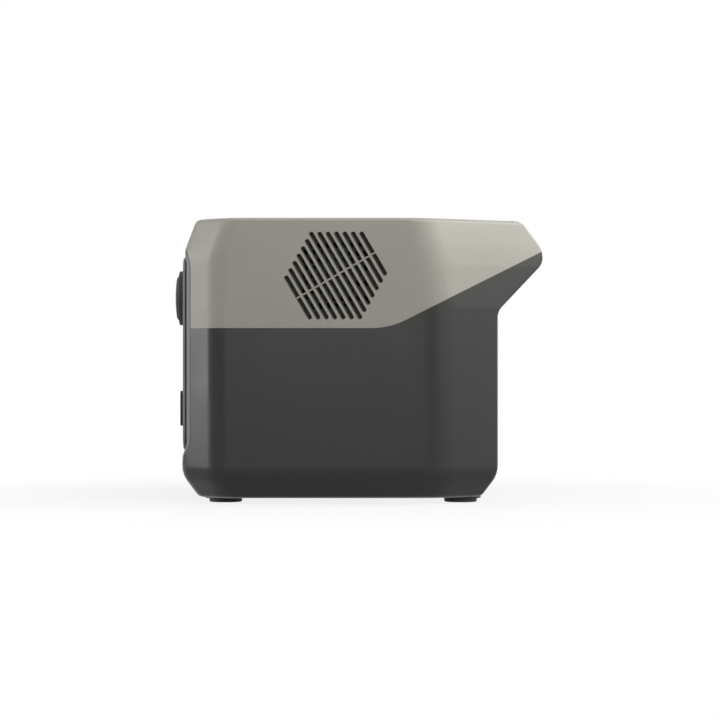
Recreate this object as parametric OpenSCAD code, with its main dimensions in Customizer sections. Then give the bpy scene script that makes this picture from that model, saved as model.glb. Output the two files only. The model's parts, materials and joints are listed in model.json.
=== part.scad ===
// Camping power station, modelled piece by piece in millimetres.
// Two moulded shells stand on four rubber feet. The rear of the housing reaches out as a carrying
// handle, both sides have a louvred hexagonal vent with a fan behind it, the sockets are on the front
// panel and the inlets on the rear wall.
// Frame: +Z up, the front faces -Y, the origin is on the floor under the middle of the whole box.

/* [Body] */
// Width of the housing
body_w = 269; // [262:1:290]
// Depth of the housing without the handle
body_d = 219.6; // [214:0.2:240]
// Height of the housing without the feet
body_h = 193; // [190:1:205]
// Wall of both shells
wall = 3; // [2.4:0.2:3.6]
// Size of the 45 degree facets beside the front, along each side
front_facet = 23.7; // [20:0.1:26]
// Length of the facets beside the rear, along the side
rear_facet = 40.5; // [34:0.5:52]
// How far the rear facets come in from the side
rear_facet_in = 26.6; // [22:0.2:30]
// How far the start of the rear facets moves forward at the top
facet_creep = 14.5; // [8:0.5:18]
// Radius between the front and its facets
front_edge_r = 12.7; // [8:0.1:16]
// Radius between a side and its front facet
front_facet_r = 21; // [12:1:24]
// Radius between a side and its rear facet
rear_facet_r = 42; // [10:1:50]
// Radius of the upright edges at the rear wall and the handle
rear_edge_r = 4; // [3.5:0.5:8]
// Radius of the edge round the top
top_r = 3; // [2:0.5:5]
// Height over which the front leans back
front_lean_h = 31.7; // [26:0.1:34]
// Lean of the front at the top, in degrees
lean_a = 20.8; // [14:0.2:24]
// Radius where the lean starts
lean_r = 30; // [20:1:40]

/* [Bottom edge] */
// Height of the bevel round the bottom
bevel_h = 22; // [19:1:25]
// Slope of the bevel from upright, in degrees
bevel_a = 36; // [30:1:40]
// Radius from the sides into the bevel
bevel_r = 19; // [12:1:22]
// Radius from the bevel into the bottom
bottom_r = 6; // [4:0.5:8]

/* [Handle] */
// How far the handle reaches behind the rear wall
handle_reach = 32.9; // [28:0.1:36]
// Rearmost line of the handle under the top
tip_down = 25.3; // [23:0.1:29]
// Radius under the tip
tip_r = 10.8; // [8:0.1:13]
// Radius over the tip
tip_top_r = 15.4; // [12:0.1:18]
// Slope of the surface over the tip from upright, in degrees
tip_top_a = 38; // [32:1:42]
// Slope of the underside from upright, in degrees
under_a = 44; // [40:1:48]
// Radius between the rear wall and the underside
under_fillet = 10; // [6:1:14]
// Width of the hand opening
hand_w = 112; // [100:1:114]
// Depth of the hand opening at the top
hand_d = 29; // [27:0.5:31]
// Thickness of the grip behind the hand opening, at its widest
grip_d = 21; // [20:0.5:23]
// Corner radius of the hand opening
hand_r = 12; // [8:1:13]

/* [Seam] */
// Level part of the seam between the shells, under the top
seam_down = 75.7; // [74:0.1:78]
// Place where the seam turns upward, behind the middle of the box
seam_turn = 20.7; // [14:0.1:26]
// Slope of the rising part of the seam, in degrees
seam_a = 26.8; // [24:0.2:28]
// Radius of the turn
seam_r = 51; // [30:1:60]

/* [Side vents] */
// Number of slots in each vent
vent_slots = 13; // [9:2:13]
// Distance from slot to slot
slot_pitch = 4.97; // [4.7:0.01:5]
// Width of a slot
slot_w = 3.4; // [2.8:0.1:3.6]
// Half the length of the middle slot, up to the centre of its round end
vent_reach = 32.95; // [30:0.05:34]
// Slope of the slots from upright, in degrees
slot_lean = 30.3; // [28:0.1:32]
// Slope of the louvre walls, in degrees
louvre_a = 25; // [10:1:30]
// Thickness of the bar across the slots
cross_bar = 1; // [0.8:0.1:1.6]
// Centre of the vent over the seam
vent_lift = 35.9; // [35:0.1:37]
// Centre of the vent behind the front
vent_back = 106.9; // [100:0.1:114]

/* [Feet] */
// Height of the feet below the housing
foot_h = 4; // [3:0.1:5]
// Diameter of a foot
foot_d = 23; // [20:0.5:25]
// Diameter of the pad that carries a foot
foot_pad_d = 28.5; // [27:0.5:30]
// Height of that pad
foot_pad_h = 1.2; // [0.8:0.1:1.6]
// Depth of the pocket that holds a foot
foot_pocket = 1.8; // [1.4:0.1:2]
// Distance between the left and right feet
foot_gap_x = 176; // [172:1:182]
// Front feet behind the front
foot_front = 29.4; // [28:0.1:34]
// Rear feet in front of the rear wall
foot_rear = 25.3; // [24.5:0.1:30]

/* [Front panel] */
// Width of the bezel
bezel_w = 234; // [228:1:236]
// Top of the bezel under the top of the housing
bezel_down = 16.2; // [15:0.2:19]
// Bottom of the bezel over the bottom of the housing
bezel_up = 23; // [22:0.1:24]
// Corner radius of the bezel
bezel_r = 18.5; // [16:0.5:24]
// Width of the raised rim of the bezel, flush with the housing
bezel_rim = 2.5; // [1.6:0.1:3.5]
// Floor of the bezel behind the front of the housing
bezel_back = 3.6; // [3:0.1:4]
// Depth of the bezel
bezel_depth = 8.1; // [7.5:0.1:9]
// Border of the bezel beside the panel
bezel_border = 5.5; // [5:0.1:6.5]
// Border of the bezel over and under the panel
bezel_band = 10.1; // [9:0.1:11]
// Panel face in front of the floor of the bezel
panel_proud = 2.8; // [2.2:0.1:3]
// Thickness of the panel
panel_t = 3; // [2.6:0.1:3.4]
// Width of the ledge that carries the panel
panel_ledge = 4; // [3:0.5:5]

/* [Front sockets] */
// Number of mains outlets
ac_count = 4; // [2:1:4]
// Distance from outlet to outlet
ac_pitch = 50; // [46:1:52]
// Width of an outlet's face
ac_w = 40; // [38:0.5:42]
// Height of an outlet's face
ac_h = 24.4; // [23:0.1:26]
// Outlet face in front of the panel
ac_proud = 2.9; // [2:0.1:3.4]
// Depth of an outlet behind the panel
ac_depth = 18; // [16:0.5:20]
// Outlets over the bottom of the panel
ac_row = 28.4; // [26:0.1:31]
// Upper row of sockets under the top of the panel
top_row = 27.9; // [26:0.1:29]
// Car outlet right of the middle
car_x = 85; // [82:0.5:86]
// Bore of the car outlet
car_bore = 21.2; // [20.9:0.1:21.4]
// Depth of the car outlet
car_depth = 42; // [36:1:46]
// Wall of the car outlet
car_wall = 2.9; // [2.4:0.1:3.4]
// Flange of the car outlet
car_flange_d = 33; // [31:0.5:33]
// Thickness of that flange
car_flange_t = 1.2; // [1:0.1:1.6]
// Diameter of the cap's ring
cap_ring_d = 38; // [36:0.5:39]
// Diameter of the cap's dome
cap_dome_d = 31; // [29:0.5:32]
// Height of the ring's face over the panel
cap_ring_h = 3.9; // [3.6:0.1:4.4]
// Height of the dome over the panel
cap_h = 6.6; // [6:0.1:8]
// Radius of the crown over the dome
cap_crown_r = 100; // [60:1:200]
// Diameter of the cap's hinge pin
hinge_pin_d = 1.2; // [1:0.1:1.4]
// Number of USB-A ports
usb_a_count = 3; // [2:1:3]
// Distance from USB port to USB port
usb_pitch = 26; // [22:1:28]
// First USB-A port left of the middle
usb_first = 62; // [58:1:64]
// Width of a USB-A port
usb_a_w = 13.1; // [12.9:0.1:13.5]
// Height of a USB-A port
usb_a_h = 5.7; // [5.5:0.1:6]
// Width of a USB-C port
usb_c_w = 9; // [8.8:0.1:9.4]
// Height of a USB-C port
usb_c_h = 3.3; // [3.1:0.1:3.6]
// Wall of the USB port shells
usb_wall = 0.4; // [0.3:0.05:0.5]
// Plug bore of the DC jacks
dc_bore = 6.3; // [5.7:0.1:6.6]
// Width of a DC jack's body
dc_body = 11; // [10:0.5:13]
// Distance between the DC jacks
dc_pitch = 20; // [16:1:22]
// DC jacks right of the middle
dc_x = 41; // [39:1:43]

/* [Display and buttons] */
// Width of the display window
window_w = 92; // [80:1:96]
// Height of the display window
window_h = 42; // [36:1:44]
// Thickness of the window
window_t = 1.2; // [1:0.1:1.6]
// Middle of the display left of the middle
window_x = 52; // [51:0.5:54]
// Depth of the display module
module_t = 7; // [5:0.5:9]
// Diameter of the power button
power_d = 13; // [11:0.5:15]
// Power button right of the middle
power_x = 15; // [14:0.5:17]
// Width of the two output buttons
output_w = 22; // [18:1:26]
// Height of the two output buttons
output_h = 8.5; // [7:0.5:10]
// Travel of the front buttons
button_travel = 1; // [0.6:0.1:1.2]
// Running clearance round a button
button_gap = 0.25; // [0.2:0.05:0.35]

/* [Rear inlets] */
// Depth of the niche that holds the inlets
niche_depth = 4.5; // [4.2:0.1:5]
// Space round the inlets in the niche
niche_edge = 3.7; // [3:0.1:6]
// Corner radius of the niche
niche_r = 6; // [4:0.5:8]
// Height of the inlets over the bottom of the housing
inlet_h = 57; // [50:1:62]
// Distance from inlet to inlet
inlet_pitch = 42; // [40:1:44]
// Width of the mains inlet's mouth
ac_in_w = 24.2; // [24:0.1:25]
// Height of the mains inlet's mouth
ac_in_h = 16.6; // [16.4:0.1:17.4]
// Depth of the mains inlet's mouth
ac_in_depth = 15; // [13:0.5:16]
// Width of the DC input's mouth
dc_in_w = 16; // [15.6:0.1:17]
// Height of the DC input's mouth
dc_in_h = 8.4; // [8:0.1:9]
// Depth of the DC input's mouth
dc_in_depth = 9; // [8:0.5:11]
// Diameter of the reset button
reset_d = 6.5; // [5.5:0.1:7.5]
// Travel of the reset button
reset_travel = 1.5; // [1:0.1:1.8]

/* [Fans] */
// Side of a fan frame
fan_size = 60; // [58:1:60]
// Depth of a fan frame
fan_t = 15; // [14:0.5:17]
// Gap between the wall and the fan, bridged by the fan posts
fan_off = 4; // [3:0.5:6]
// Distance between a fan's screws
fan_holes = 50; // [49:0.5:51]
// Diameter of the rotor
rotor_d = 55.4; // [52:0.1:55.6]
// Diameter of the rotor's hub
hub_d = 26; // [24:0.5:28]
// Number of blades
blade_count = 7; // [5:1:9]

/* [Battery] */
// Number of prismatic cells
cell_count = 8; // [6:1:8]
// Thickness of one cell
cell_t = 27; // [24:0.5:27.5]
// Depth of one cell
cell_l = 131; // [120:1:132]
// Height of one cell
cell_h = 70; // [66:0.5:72]
// Floor of the battery tray
tray_t = 2.5; // [2:0.5:3]
// Space between the battery and the rear wall, for the inlets
battery_back = 36.6; // [34:0.1:40]
// Space over the cells, up to the deck
deck_gap = 8; // [7:0.5:10]
// Thickness of the deck
deck_t = 2.5; // [2:0.5:3]
// Height of the standoffs on the deck
standoff_h = 5; // [4:0.5:7]

/* [Fit] */
// Gap between pieces of one body that sit beside each other
fit_gap = 0.3; // [0.2:0.05:0.35]

/* [Hidden] */

$fn = 48;
// Steps of a rounded edge outside and inside
outer_steps = 4;
inner_steps = 2;
// A little more than a cut needs
over = 1;

pale = [0.55, 0.53, 0.49];
dark = [0.23, 0.23, 0.22];
black = [0.08, 0.08, 0.08];
steel = [0.7, 0.71, 0.72];
brass = [0.78, 0.62, 0.3];
green = [0.1, 0.3, 0.2];

// The body's front and rear walls, with the cap's dome and the handle's tip at the ends of the box
panel_back = bezel_back - panel_proud;
y_front = cap_h - panel_back - (body_d + handle_reach + cap_h - panel_back) / 2;
y_rear = y_front + body_d;
y_bezel = y_front + bezel_back;
y_panel = y_bezel - panel_proud;
y_panel_rear = y_panel + panel_t;
z_top = foot_h + body_h;
z_floor = foot_h + wall;
x_wall = body_w / 2 - wall;

// ---- Shape of the housing: rings of the plan outline, stacked from the bottom to the top ----

facet_a = atan(rear_facet_in / rear_facet);
side_angle = [0, facet_a, 90, 180 - facet_a, 180, 225, 270, 315];
corner_r = [rear_facet_r, rear_edge_r, rear_edge_r, rear_facet_r,
    front_facet_r, front_edge_r, front_edge_r, front_facet_r];

// Handle: fillet, underside, round tip and the slope over it, as heights over the bottom
tip_at = body_h - tip_down;
tip_low = tip_at - tip_r * sin(under_a);
tip_high = tip_at + tip_top_r * sin(tip_top_a);
under_run = handle_reach - (tip_r + under_fillet) * (1 - cos(under_a));
fillet_high = tip_low - under_run / tan(under_a);
fillet_low = fillet_high - under_fillet * sin(under_a);

// Front: upright, a round turn, then the lean
lean_low = body_h - front_lean_h;
lean_high = lean_low + lean_r * sin(lean_a);

// Bottom: a round turn, the bevel and the round into the bottom
bevel_low = bevel_h - bevel_r * sin(bevel_a);
bevel_in = bevel_r * (1 - cos(bevel_a));
bottom_high = bottom_r * (1 - sin(bevel_a));
bottom_in = bevel_in + (bevel_low - bottom_high) * tan(bevel_a) + bottom_r * cos(bevel_a);

creep_low = fillet_high;

function rear_reach(h) =
    h < fillet_low ? 0
    : h < fillet_high ? under_fillet - sqrt(pow(under_fillet, 2) - pow(h - fillet_low, 2))
    : h < tip_low ? under_fillet * (1 - cos(under_a)) + (h - fillet_high) * tan(under_a)
    : h < tip_at ? handle_reach - tip_r + sqrt(pow(tip_r, 2) - pow(tip_at - h, 2))
    : h < tip_high ? handle_reach - tip_top_r + sqrt(pow(tip_top_r, 2) - pow(h - tip_at, 2))
    : handle_reach - tip_top_r * (1 - cos(tip_top_a)) - (h - tip_high) * tan(tip_top_a);

function front_lean(h) =
    h < lean_low ? 0
    : h < lean_high ? lean_r - sqrt(pow(lean_r, 2) - pow(h - lean_low, 2))
    : lean_r * (1 - cos(lean_a)) + (h - lean_high) * tan(lean_a);

function facet_start(h) =
    y_rear - rear_facet - facet_creep * pow(max(0, h - creep_low) / (body_h - creep_low), 2);

function edge_inset(h) =
    h < bottom_high ? bottom_in - sqrt(pow(bottom_r, 2) - pow(bottom_r - h, 2))
    : h < bevel_low ? bevel_in + (bevel_low - h) * tan(bevel_a)
    : h < bevel_h ? bevel_r - sqrt(pow(bevel_r, 2) - pow(bevel_h - h, 2))
    : h < body_h - top_r ? 0
    : top_r - sqrt(max(0, pow(top_r, 2) - pow(h - body_h + top_r, 2)));

// Distance of side i of the outline from the origin, at height h
function side_reach(i, h) =
    i == 0 || i == 4 ? body_w / 2
    : i == 1 || i == 3 ? body_w / 2 * cos(facet_a) + facet_start(h) * sin(facet_a)
    : i == 2 ? y_rear + rear_reach(h)
    : i == 6 ? -y_front - front_lean(h)
    : (body_w / 2 - y_front - front_facet - front_lean(h)) * cos(45);

// Points of the rounded corner between side i and the next one
function corner_points(i, h, gap, steps) =
    let (j = (i + 1) % 8)
    let (a = side_angle[i])
    let (b = side_angle[j] + (j == 0 ? 360 : 0))
    let (r = max(corner_r[i] - gap, 1))
    let (inset = edge_inset(h) + gap + r)
    let (p = side_reach(i, h) - inset)
    let (q = side_reach(j, h) - inset)
    let (centre = [p * sin(b) - q * sin(a), q * cos(a) - p * cos(b)] / sin(b - a))
    [for (k = [0:steps]) let (t = a + (b - a) * k / steps) centre + r * [cos(t), sin(t)]];

function ring(h, gap, steps) = [for (i = [0:7]) each corner_points(i, h, gap, steps)];

// Sorts heights and drops those closer than gap to one named earlier in the list
function sorted(v, gap) =
    len(v) == 0 ? []
    : concat(sorted([for (x = v) if (x < v[0] - gap) x], gap), [v[0]],
        sorted([for (x = v) if (x > v[0] + gap) x], gap));

// Heights at which a profile arc from one angle to another is cut
function turns(centre, r, a0, a1, steps) =
    [for (k = [0:steps]) centre + r * sin(a0 + (a1 - a0) * k / steps)];

outer_levels = sorted(concat([0, body_h],
    turns(bevel_h, bevel_r, -bevel_a, 0, 4),
    turns(bottom_r, bottom_r, -90, -bevel_a, 3),
    turns(fillet_low, under_fillet, 0, under_a, 4),
    turns(tip_at, tip_r, -under_a, 0, 4),
    turns(tip_at, tip_top_r, 0, tip_top_a, 3),
    turns(lean_low, lean_r, 0, lean_a, 2),
    turns(body_h - top_r, top_r, 0, 90, 3)), 0.25);

inner_levels = sorted(concat([wall, body_h - wall, bevel_low, bevel_h, (bevel_low + bevel_h) / 2],
    turns(fillet_low, under_fillet, 0, under_a, 2),
    turns(tip_at, tip_r, -under_a, 0, 2),
    turns(tip_at, tip_top_r, 0, tip_top_a, 1),
    [lean_low, lean_high]), 1.5);

// Solid inside the outline, gap behind the outer surface
module skin(gap, levels, steps) {
    n = 8 * (steps + 1);
    last = len(levels) - 1;
    polyhedron(
        points = [for (h = levels) each [for (p = ring(h, gap, steps)) [p.x, p.y, foot_h + h]]],
        faces = concat(
            [[for (j = [0:n - 1]) j]],
            [[for (j = [n - 1:-1:0]) last * n + j]],
            [for (i = [0:last - 1]) for (j = [0:n - 1])
                [i * n + j, (i + 1) * n + j, (i + 1) * n + (j + 1) % n, i * n + (j + 1) % n]]));
}

module outer_body() skin(0, outer_levels, outer_steps);

module cavity() skin(wall, inner_levels, inner_steps);

// ---- Helpers ----

// Flat shape in Y and Z, drawn out along X from x0 to x1
module along_x(x0, x1) {
    translate([x0, 0, 0])
        rotate([90, 0, 90])
            linear_extrude(x1 - x0)
                children();
}

// Flat shape in X and Z, drawn out along Y from y0 to y1
module along_y(y0, y1) {
    translate([0, y1, 0])
        rotate([90, 0, 0])
            linear_extrude(y1 - y0)
                children();
}

// Round bar along Y from y0 to y1
module rod_y(d, y0, y1) {
    translate([0, y0, 0])
        rotate([-90, 0, 0])
            cylinder(d = d, h = y1 - y0);
}

module rounded(size, r) {
    square([size.x - 2 * r, size.y], center = true);
    square([size.x, size.y - 2 * r], center = true);
    for (x = [-1, 1], y = [-1, 1])
        translate([x * (size.x / 2 - r), y * (size.y / 2 - r)])
            circle(r);
}

module both_sides() {
    children();
    mirror([1, 0, 0])
        children();
}

// ---- Seam ----

seam_z = z_top - seam_down;
seam_tangent = seam_r * tan(seam_a / 2);
far = 400;

function seam_at(y) = seam_z + max(0, y - seam_turn) * tan(seam_a);

// Everything below the seam, in Y and Z
module below_seam() {
    polygon([[-far, -over], [far, -over], [far, seam_at(far)], [seam_turn, seam_z], [-far, seam_z]]);
    difference() {
        polygon([[seam_turn - seam_tangent, seam_z], [seam_turn, seam_z],
            [seam_turn + seam_tangent * cos(seam_a), seam_z + seam_tangent * sin(seam_a)]]);
        translate([seam_turn - seam_tangent, seam_z + seam_r])
            circle(seam_r, $fn = 180);
    }
}

// ---- Front opening and its rim ----

bezel_h = body_h - bezel_up - bezel_down;
bezel_z = foot_h + bezel_up + bezel_h / 2;
panel_w = bezel_w - 2 * bezel_border;
panel_h = bezel_h - 2 * bezel_band;
y_ledge = y_bezel + bezel_depth;
rim_t = 2.5;
rim_ledge = 4;

module bezel_outline(grow) {
    translate([0, bezel_z])
        rounded([bezel_w + 2 * grow, bezel_h + 2 * grow], bezel_r + grow);
}

module panel_outline(grow) {
    translate([0, bezel_z])
        rounded([panel_w + 2 * grow, panel_h + 2 * grow], bezel_r - bezel_border + grow);
}

module front_opening() {
    along_y(y_front - over, y_ledge)
        bezel_outline(fit_gap);
    along_y(y_front - over, y_ledge + rim_t + over)
        bezel_outline(-rim_ledge);
}

module front_rim() {
    along_y(y_front - over, y_ledge + rim_t)
        bezel_outline(fit_gap + rim_t);
}

// ---- Hand opening ----

hand_y1 = y_rear + handle_reach - grip_d;
hand_y0 = hand_y1 - hand_d;
hand_exit = foot_h + fillet_low;

module hand_plan(grow) {
    translate([0, (hand_y0 + hand_y1) / 2])
        rounded([hand_w + 2 * grow, hand_d + 2 * grow], hand_r + grow);
}

// The well goes down behind the grip and slopes out to the rear wall
module hand_well(grow) {
    exit_z = hand_exit - grow;
    slope_y = y_rear + over;
    intersection() {
        translate([0, 0, exit_z - over])
            linear_extrude(z_top + over - exit_z + over)
                hand_plan(grow);
        along_x(-hand_w, hand_w)
            polygon([[slope_y, exit_z - over], [far, exit_z - over], [far, z_top + far],
                [-far, z_top + far], [-far, exit_z - over + slope_y + far]]);
    }
}

// ---- Side vents ----

vent_z = seam_z + vent_lift;
vent_y = y_front + vent_back;

// One half of a slot, from the cross bar to its round end
module slot_half(reach, w) {
    translate([-w / 2, cross_bar / 2])
        square([w, reach - cross_bar / 2]);
    translate([0, reach])
        circle(d = w, $fn = 24);
}

module vent_cut() {
    depth = (wall + over) / cos(louvre_a);
    middle = (vent_slots - 1) / 2;
    translate([body_w / 2, vent_y, vent_z])
        rotate([90, 0, 90])
            rotate(slot_lean)
                for (i = [-middle:middle], half = [0, 180])
                    translate([i * slot_pitch, 0, 0])
                        rotate([0, -louvre_a, 0])
                            translate([0, 0, -depth])
                                linear_extrude(depth + 2 * over)
                                    rotate(half)
                                        slot_half(vent_reach - abs(i) * slot_pitch * tan(30),
                                            slot_w * cos(louvre_a));
}

// ---- Screw posts that join the shells ----

post_d = 10;
post_behind_front = 37.4;
post_before_rear = 13.2;
post_front = [108, y_front + post_behind_front];
post_rear = [68, y_rear - post_before_rear];
screw_d = 3.6;
screw_head_d = 7;
screw_head_t = 2.5;
screw_grip = 12;
screw_bite = 14;
post_spots = [post_front, post_rear];

module lower_posts() {
    both_sides()
        for (p = post_spots)
            translate([p.x, p.y, foot_h + over])
                cylinder(d = post_d, h = seam_at(p.y - post_d / 2) - foot_h - over);
}

module lower_post_bores() {
    both_sides()
        for (p = post_spots)
            translate([p.x, p.y, -over]) {
                cylinder(d = screw_d + 2 * fit_gap, h = seam_at(p.y) + 2 * over);
                cylinder(d = screw_head_d + 2 * fit_gap, h = seam_at(p.y - post_d / 2) - screw_grip + over);
            }
}

module upper_posts() {
    both_sides()
        for (p = post_spots)
            translate([p.x, p.y, seam_at(p.y - post_d / 2)])
                difference() {
                    cylinder(d = post_d, h = z_top - over - seam_at(p.y - post_d / 2));
                    translate([0, 0, -over])
                        cylinder(d = screw_d + 0.2, h = screw_bite + 2 * over);
                }
}

module case_screws() {
    color(steel)
        both_sides()
            for (p = post_spots)
                translate([p.x, p.y, seam_at(p.y - post_d / 2) - screw_grip]) {
                    cylinder(d = screw_d, h = screw_grip + screw_bite);
                    translate([0, 0, -screw_head_t])
                        difference() {
                            cylinder(d = screw_head_d, h = screw_head_t);
                            translate([0, 0, -over])
                                cylinder(d = 3, h = over + 1.4, $fn = 6);
                        }
                }
}

// ---- Rear inlets ----

inlet_z = foot_h + inlet_h;
y_inlet = y_rear - niche_depth;
ac_in_x = -inlet_pitch;
reset_x = inlet_pitch;
inlet_wall = 1.5;
inlet_flange = 2.5;
inlet_flange_t = 1.6;
reset_neck_d = reset_d + 5.5;
ac_in_body = [ac_in_w + 2 * inlet_wall, ac_in_h + 2 * inlet_wall];
dc_in_body = [dc_in_w + 2 * inlet_wall, dc_in_h + 2 * inlet_wall];

niche = [2 * inlet_pitch + ac_in_body.x + 2 * inlet_flange, ac_in_body.y + 2 * inlet_flange]
    + [1, 1] * 2 * niche_edge;

module niche_walls() {
    along_y(y_inlet - wall, y_rear - wall / 2)
        translate([0, inlet_z])
            rounded(niche + [1, 1] * 2 * wall, niche_r + wall);
}

module inlet_holes() {
    along_y(y_inlet, y_rear + over)
        translate([0, inlet_z])
            rounded(niche, niche_r);
    along_y(y_inlet - wall - over, y_inlet + over) {
        translate([ac_in_x, inlet_z])
            rounded(ac_in_body + [1, 1] * 2 * fit_gap, 2);
        translate([0, inlet_z])
            rounded(dc_in_body + [1, 1] * 2 * fit_gap, 2);
        translate([reset_x, inlet_z])
            circle(d = reset_neck_d + 2 * fit_gap);
    }
}

// Flange, body and mouth of an inlet, pushed in from behind
module inlet_shell(body, mouth, depth, mouth_r) {
    difference() {
        union() {
            along_y(y_inlet, y_inlet + inlet_flange_t)
                rounded(body + [1, 1] * 2 * inlet_flange, 3);
            along_y(y_inlet + inlet_flange_t - depth - inlet_wall, y_inlet + inlet_flange_t)
                rounded(body, 1.5);
        }
        along_y(y_inlet + inlet_flange_t - depth, y_inlet + inlet_flange_t + over)
            rounded(mouth, mouth_r);
    }
}

pin_tail = 5;
pin_short = 1.6;
pin_gap = 0.05;

// Three blades of the mains inlet, grown by grow for the slots that hold them
module ac_in_blades(grow) {
    y0 = y_inlet + inlet_flange_t - ac_in_depth - inlet_wall - pin_tail;
    for (p = [[-7, -2], [7, -2], [0, 2]])
        translate([ac_in_x + p.x - 1 - grow, y0, inlet_z + p.y - 2 - grow])
            cube([2 + 2 * grow, y_inlet + inlet_flange_t - pin_short - y0, 4 + 2 * grow]);
}

module ac_inlet() {
    color(black)
        difference() {
            translate([ac_in_x, 0, inlet_z])
                inlet_shell(ac_in_body, [ac_in_w, ac_in_h], ac_in_depth, 2);
            ac_in_blades(pin_gap);
        }
}

module ac_inlet_pins() {
    color(steel)
        ac_in_blades(0);
}

dc_pin_d = 3.5;

module dc_in_rods(grow) {
    y0 = y_inlet + inlet_flange_t - dc_in_depth - inlet_wall - pin_tail;
    for (x = [-3.6, 3.6])
        translate([x, 0, inlet_z])
            rod_y(dc_pin_d + 2 * grow, y0, y_inlet + inlet_flange_t - pin_short);
}

module dc_input() {
    color(black)
        difference() {
            translate([0, 0, inlet_z])
                inlet_shell(dc_in_body, [dc_in_w, dc_in_h], dc_in_depth, 2);
            dc_in_rods(pin_gap);
        }
}

module dc_input_pins() {
    color(brass)
        dc_in_rods(0);
}

reset_proud = 2.5;
reset_stem = 9;
reset_collar_d = reset_d + 2;
reset_collar_t = 1.5;
reset_box = [18, 20, 14];

module reset_breaker() {
    y_face = y_inlet + inlet_flange_t;
    y_lip = y_face + reset_proud - reset_stem + reset_collar_t + fit_gap;
    y_stop = y_face + reset_proud - reset_stem - reset_travel - fit_gap;
    color(black)
        translate([reset_x, 0, inlet_z])
            difference() {
                union() {
                    rod_y(reset_neck_d + 2 * inlet_flange, y_inlet, y_face);
                    rod_y(reset_neck_d, y_stop - inlet_wall, y_face);
                    translate([-reset_box.x / 2, y_stop - inlet_wall - reset_box.y, -reset_box.z / 2])
                        cube(reset_box);
                }
                rod_y(reset_d + 2 * button_gap, y_stop, y_face + over);
                rod_y(reset_collar_d + 2 * button_gap, y_stop, y_lip);
            }
}

module reset_button() {
    y_end = y_inlet + inlet_flange_t + reset_proud;
    color([0.75, 0.12, 0.1])
        translate([reset_x, 0, inlet_z]) {
            rod_y(reset_d, y_end - reset_stem, y_end);
            rod_y(reset_collar_d, y_end - reset_stem, y_end - reset_stem + reset_collar_t);
        }
}

// ---- Feet ----

module at_feet() {
    for (x = [-1, 1], y = [y_front + foot_front, y_rear - foot_rear])
        translate([x * foot_gap_x / 2, y, 0])
            children();
}

pad_z = foot_h - foot_pad_h;

module rubber_feet() {
    color(black)
        at_feet()
            difference() {
                union() {
                    translate([0, 0, 0.6])
                        cylinder(d = foot_d, h = pad_z - 0.6);
                    cylinder(d1 = foot_d - 1.2, d2 = foot_d, h = 0.6);
                    cylinder(d = foot_d - 3.6, h = pad_z + foot_pocket);
                }
                translate([0, 0, -over])
                    cylinder(d = foot_d - 11, h = over + 0.7);
            }
}

// ---- Fans and their seats ----

fan_x = x_wall - fan_off;
fan_screw_d = 3;
fan_post_d = 6;

// Puts a fan's own frame, with z pointing into the housing, behind the right-hand vent
module at_fan() {
    translate([fan_x, vent_y, vent_z])
        rotate([0, -90, 0])
            children();
}

module at_fan_screws() {
    for (x = [-1, 1], y = [-1, 1])
        translate([x * fan_holes / 2, y * fan_holes / 2, 0])
            children();
}

module fan_posts() {
    at_fan()
        at_fan_screws()
            translate([0, 0, -fan_off - 0.5])
                difference() {
                    cylinder(d = fan_post_d, h = fan_off + 0.5);
                    translate([0, 0, 0.5])
                        cylinder(d = fan_screw_d + 0.2, h = fan_off + over, $fn = 24);
                }
}

spider_t = 3;
bearing_d = 8;
shaft_d = 3;
hub_h = 10;

module fan_frame() {
    color(black)
        difference() {
            union() {
                difference() {
                    linear_extrude(fan_t)
                        rounded([fan_size, fan_size], 4);
                    translate([0, 0, -over])
                        cylinder(d = rotor_d + 1.4, h = fan_t + 2 * over, $fn = 96);
                }
                translate([0, 0, fan_t - spider_t]) {
                    cylinder(d = hub_d, h = spider_t);
                    for (a = [45:90:315])
                        rotate(a)
                            translate([hub_d / 2 - 1, -1.5, 0])
                                cube([(rotor_d - hub_d) / 2 + 3, 3, spider_t]);
                }
                translate([0, 0, 4])
                    cylinder(d = bearing_d, h = fan_t - 4);
            }
            translate([0, 0, -over])
                cylinder(d = shaft_d + 0.1, h = fan_t + over - 1, $fn = 32);
            translate([0, 0, -over])
                at_fan_screws()
                    cylinder(d = fan_screw_d + 0.6, h = fan_t + 2 * over, $fn = 24);
        }
}

module fan_rotor() {
    color([0.12, 0.12, 0.13]) {
        difference() {
            translate([0, 0, 1.5])
                cylinder(d = hub_d, h = hub_h);
            translate([0, 0, 3])
                cylinder(d = hub_d - 3, h = hub_h);
        }
        translate([0, 0, 2])
            cylinder(d = shaft_d, h = fan_t - 4, $fn = 32);
        difference() {
            intersection() {
                translate([0, 0, 2])
                    cylinder(d = rotor_d, h = hub_h - 1, $fn = 96);
                for (i = [0:blade_count - 1])
                    rotate(i * 360 / blade_count)
                        translate([rotor_d / 4, 0, hub_h / 2 + 1.5])
                            rotate([52, 0, 0])
                                cube([rotor_d / 2 + 4, 1.2, 2 * hub_h], center = true);
            }
            cylinder(d = hub_d - 1, h = fan_t);
        }
    }
}

module right_fan_frame() at_fan() fan_frame();

module right_fan_rotor() at_fan() fan_rotor();

module left_fan_frame() mirror([1, 0, 0]) at_fan() fan_frame();

module left_fan_rotor() mirror([1, 0, 0]) at_fan() fan_rotor();

fan_head_d = 5.6;
fan_head_t = 2;
screen_t = 0.8;
screen_pitch = 5.2;

module fan_screws() {
    color(steel)
        both_sides()
            at_fan()
                at_fan_screws() {
                    translate([0, 0, screen_t - fan_off])
                        cylinder(d = fan_screw_d, h = fan_t + fan_off - screen_t, $fn = 24);
                    translate([0, 0, fan_t])
                        cylinder(d = fan_head_d, h = fan_head_t, $fn = 24);
                }
}

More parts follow.
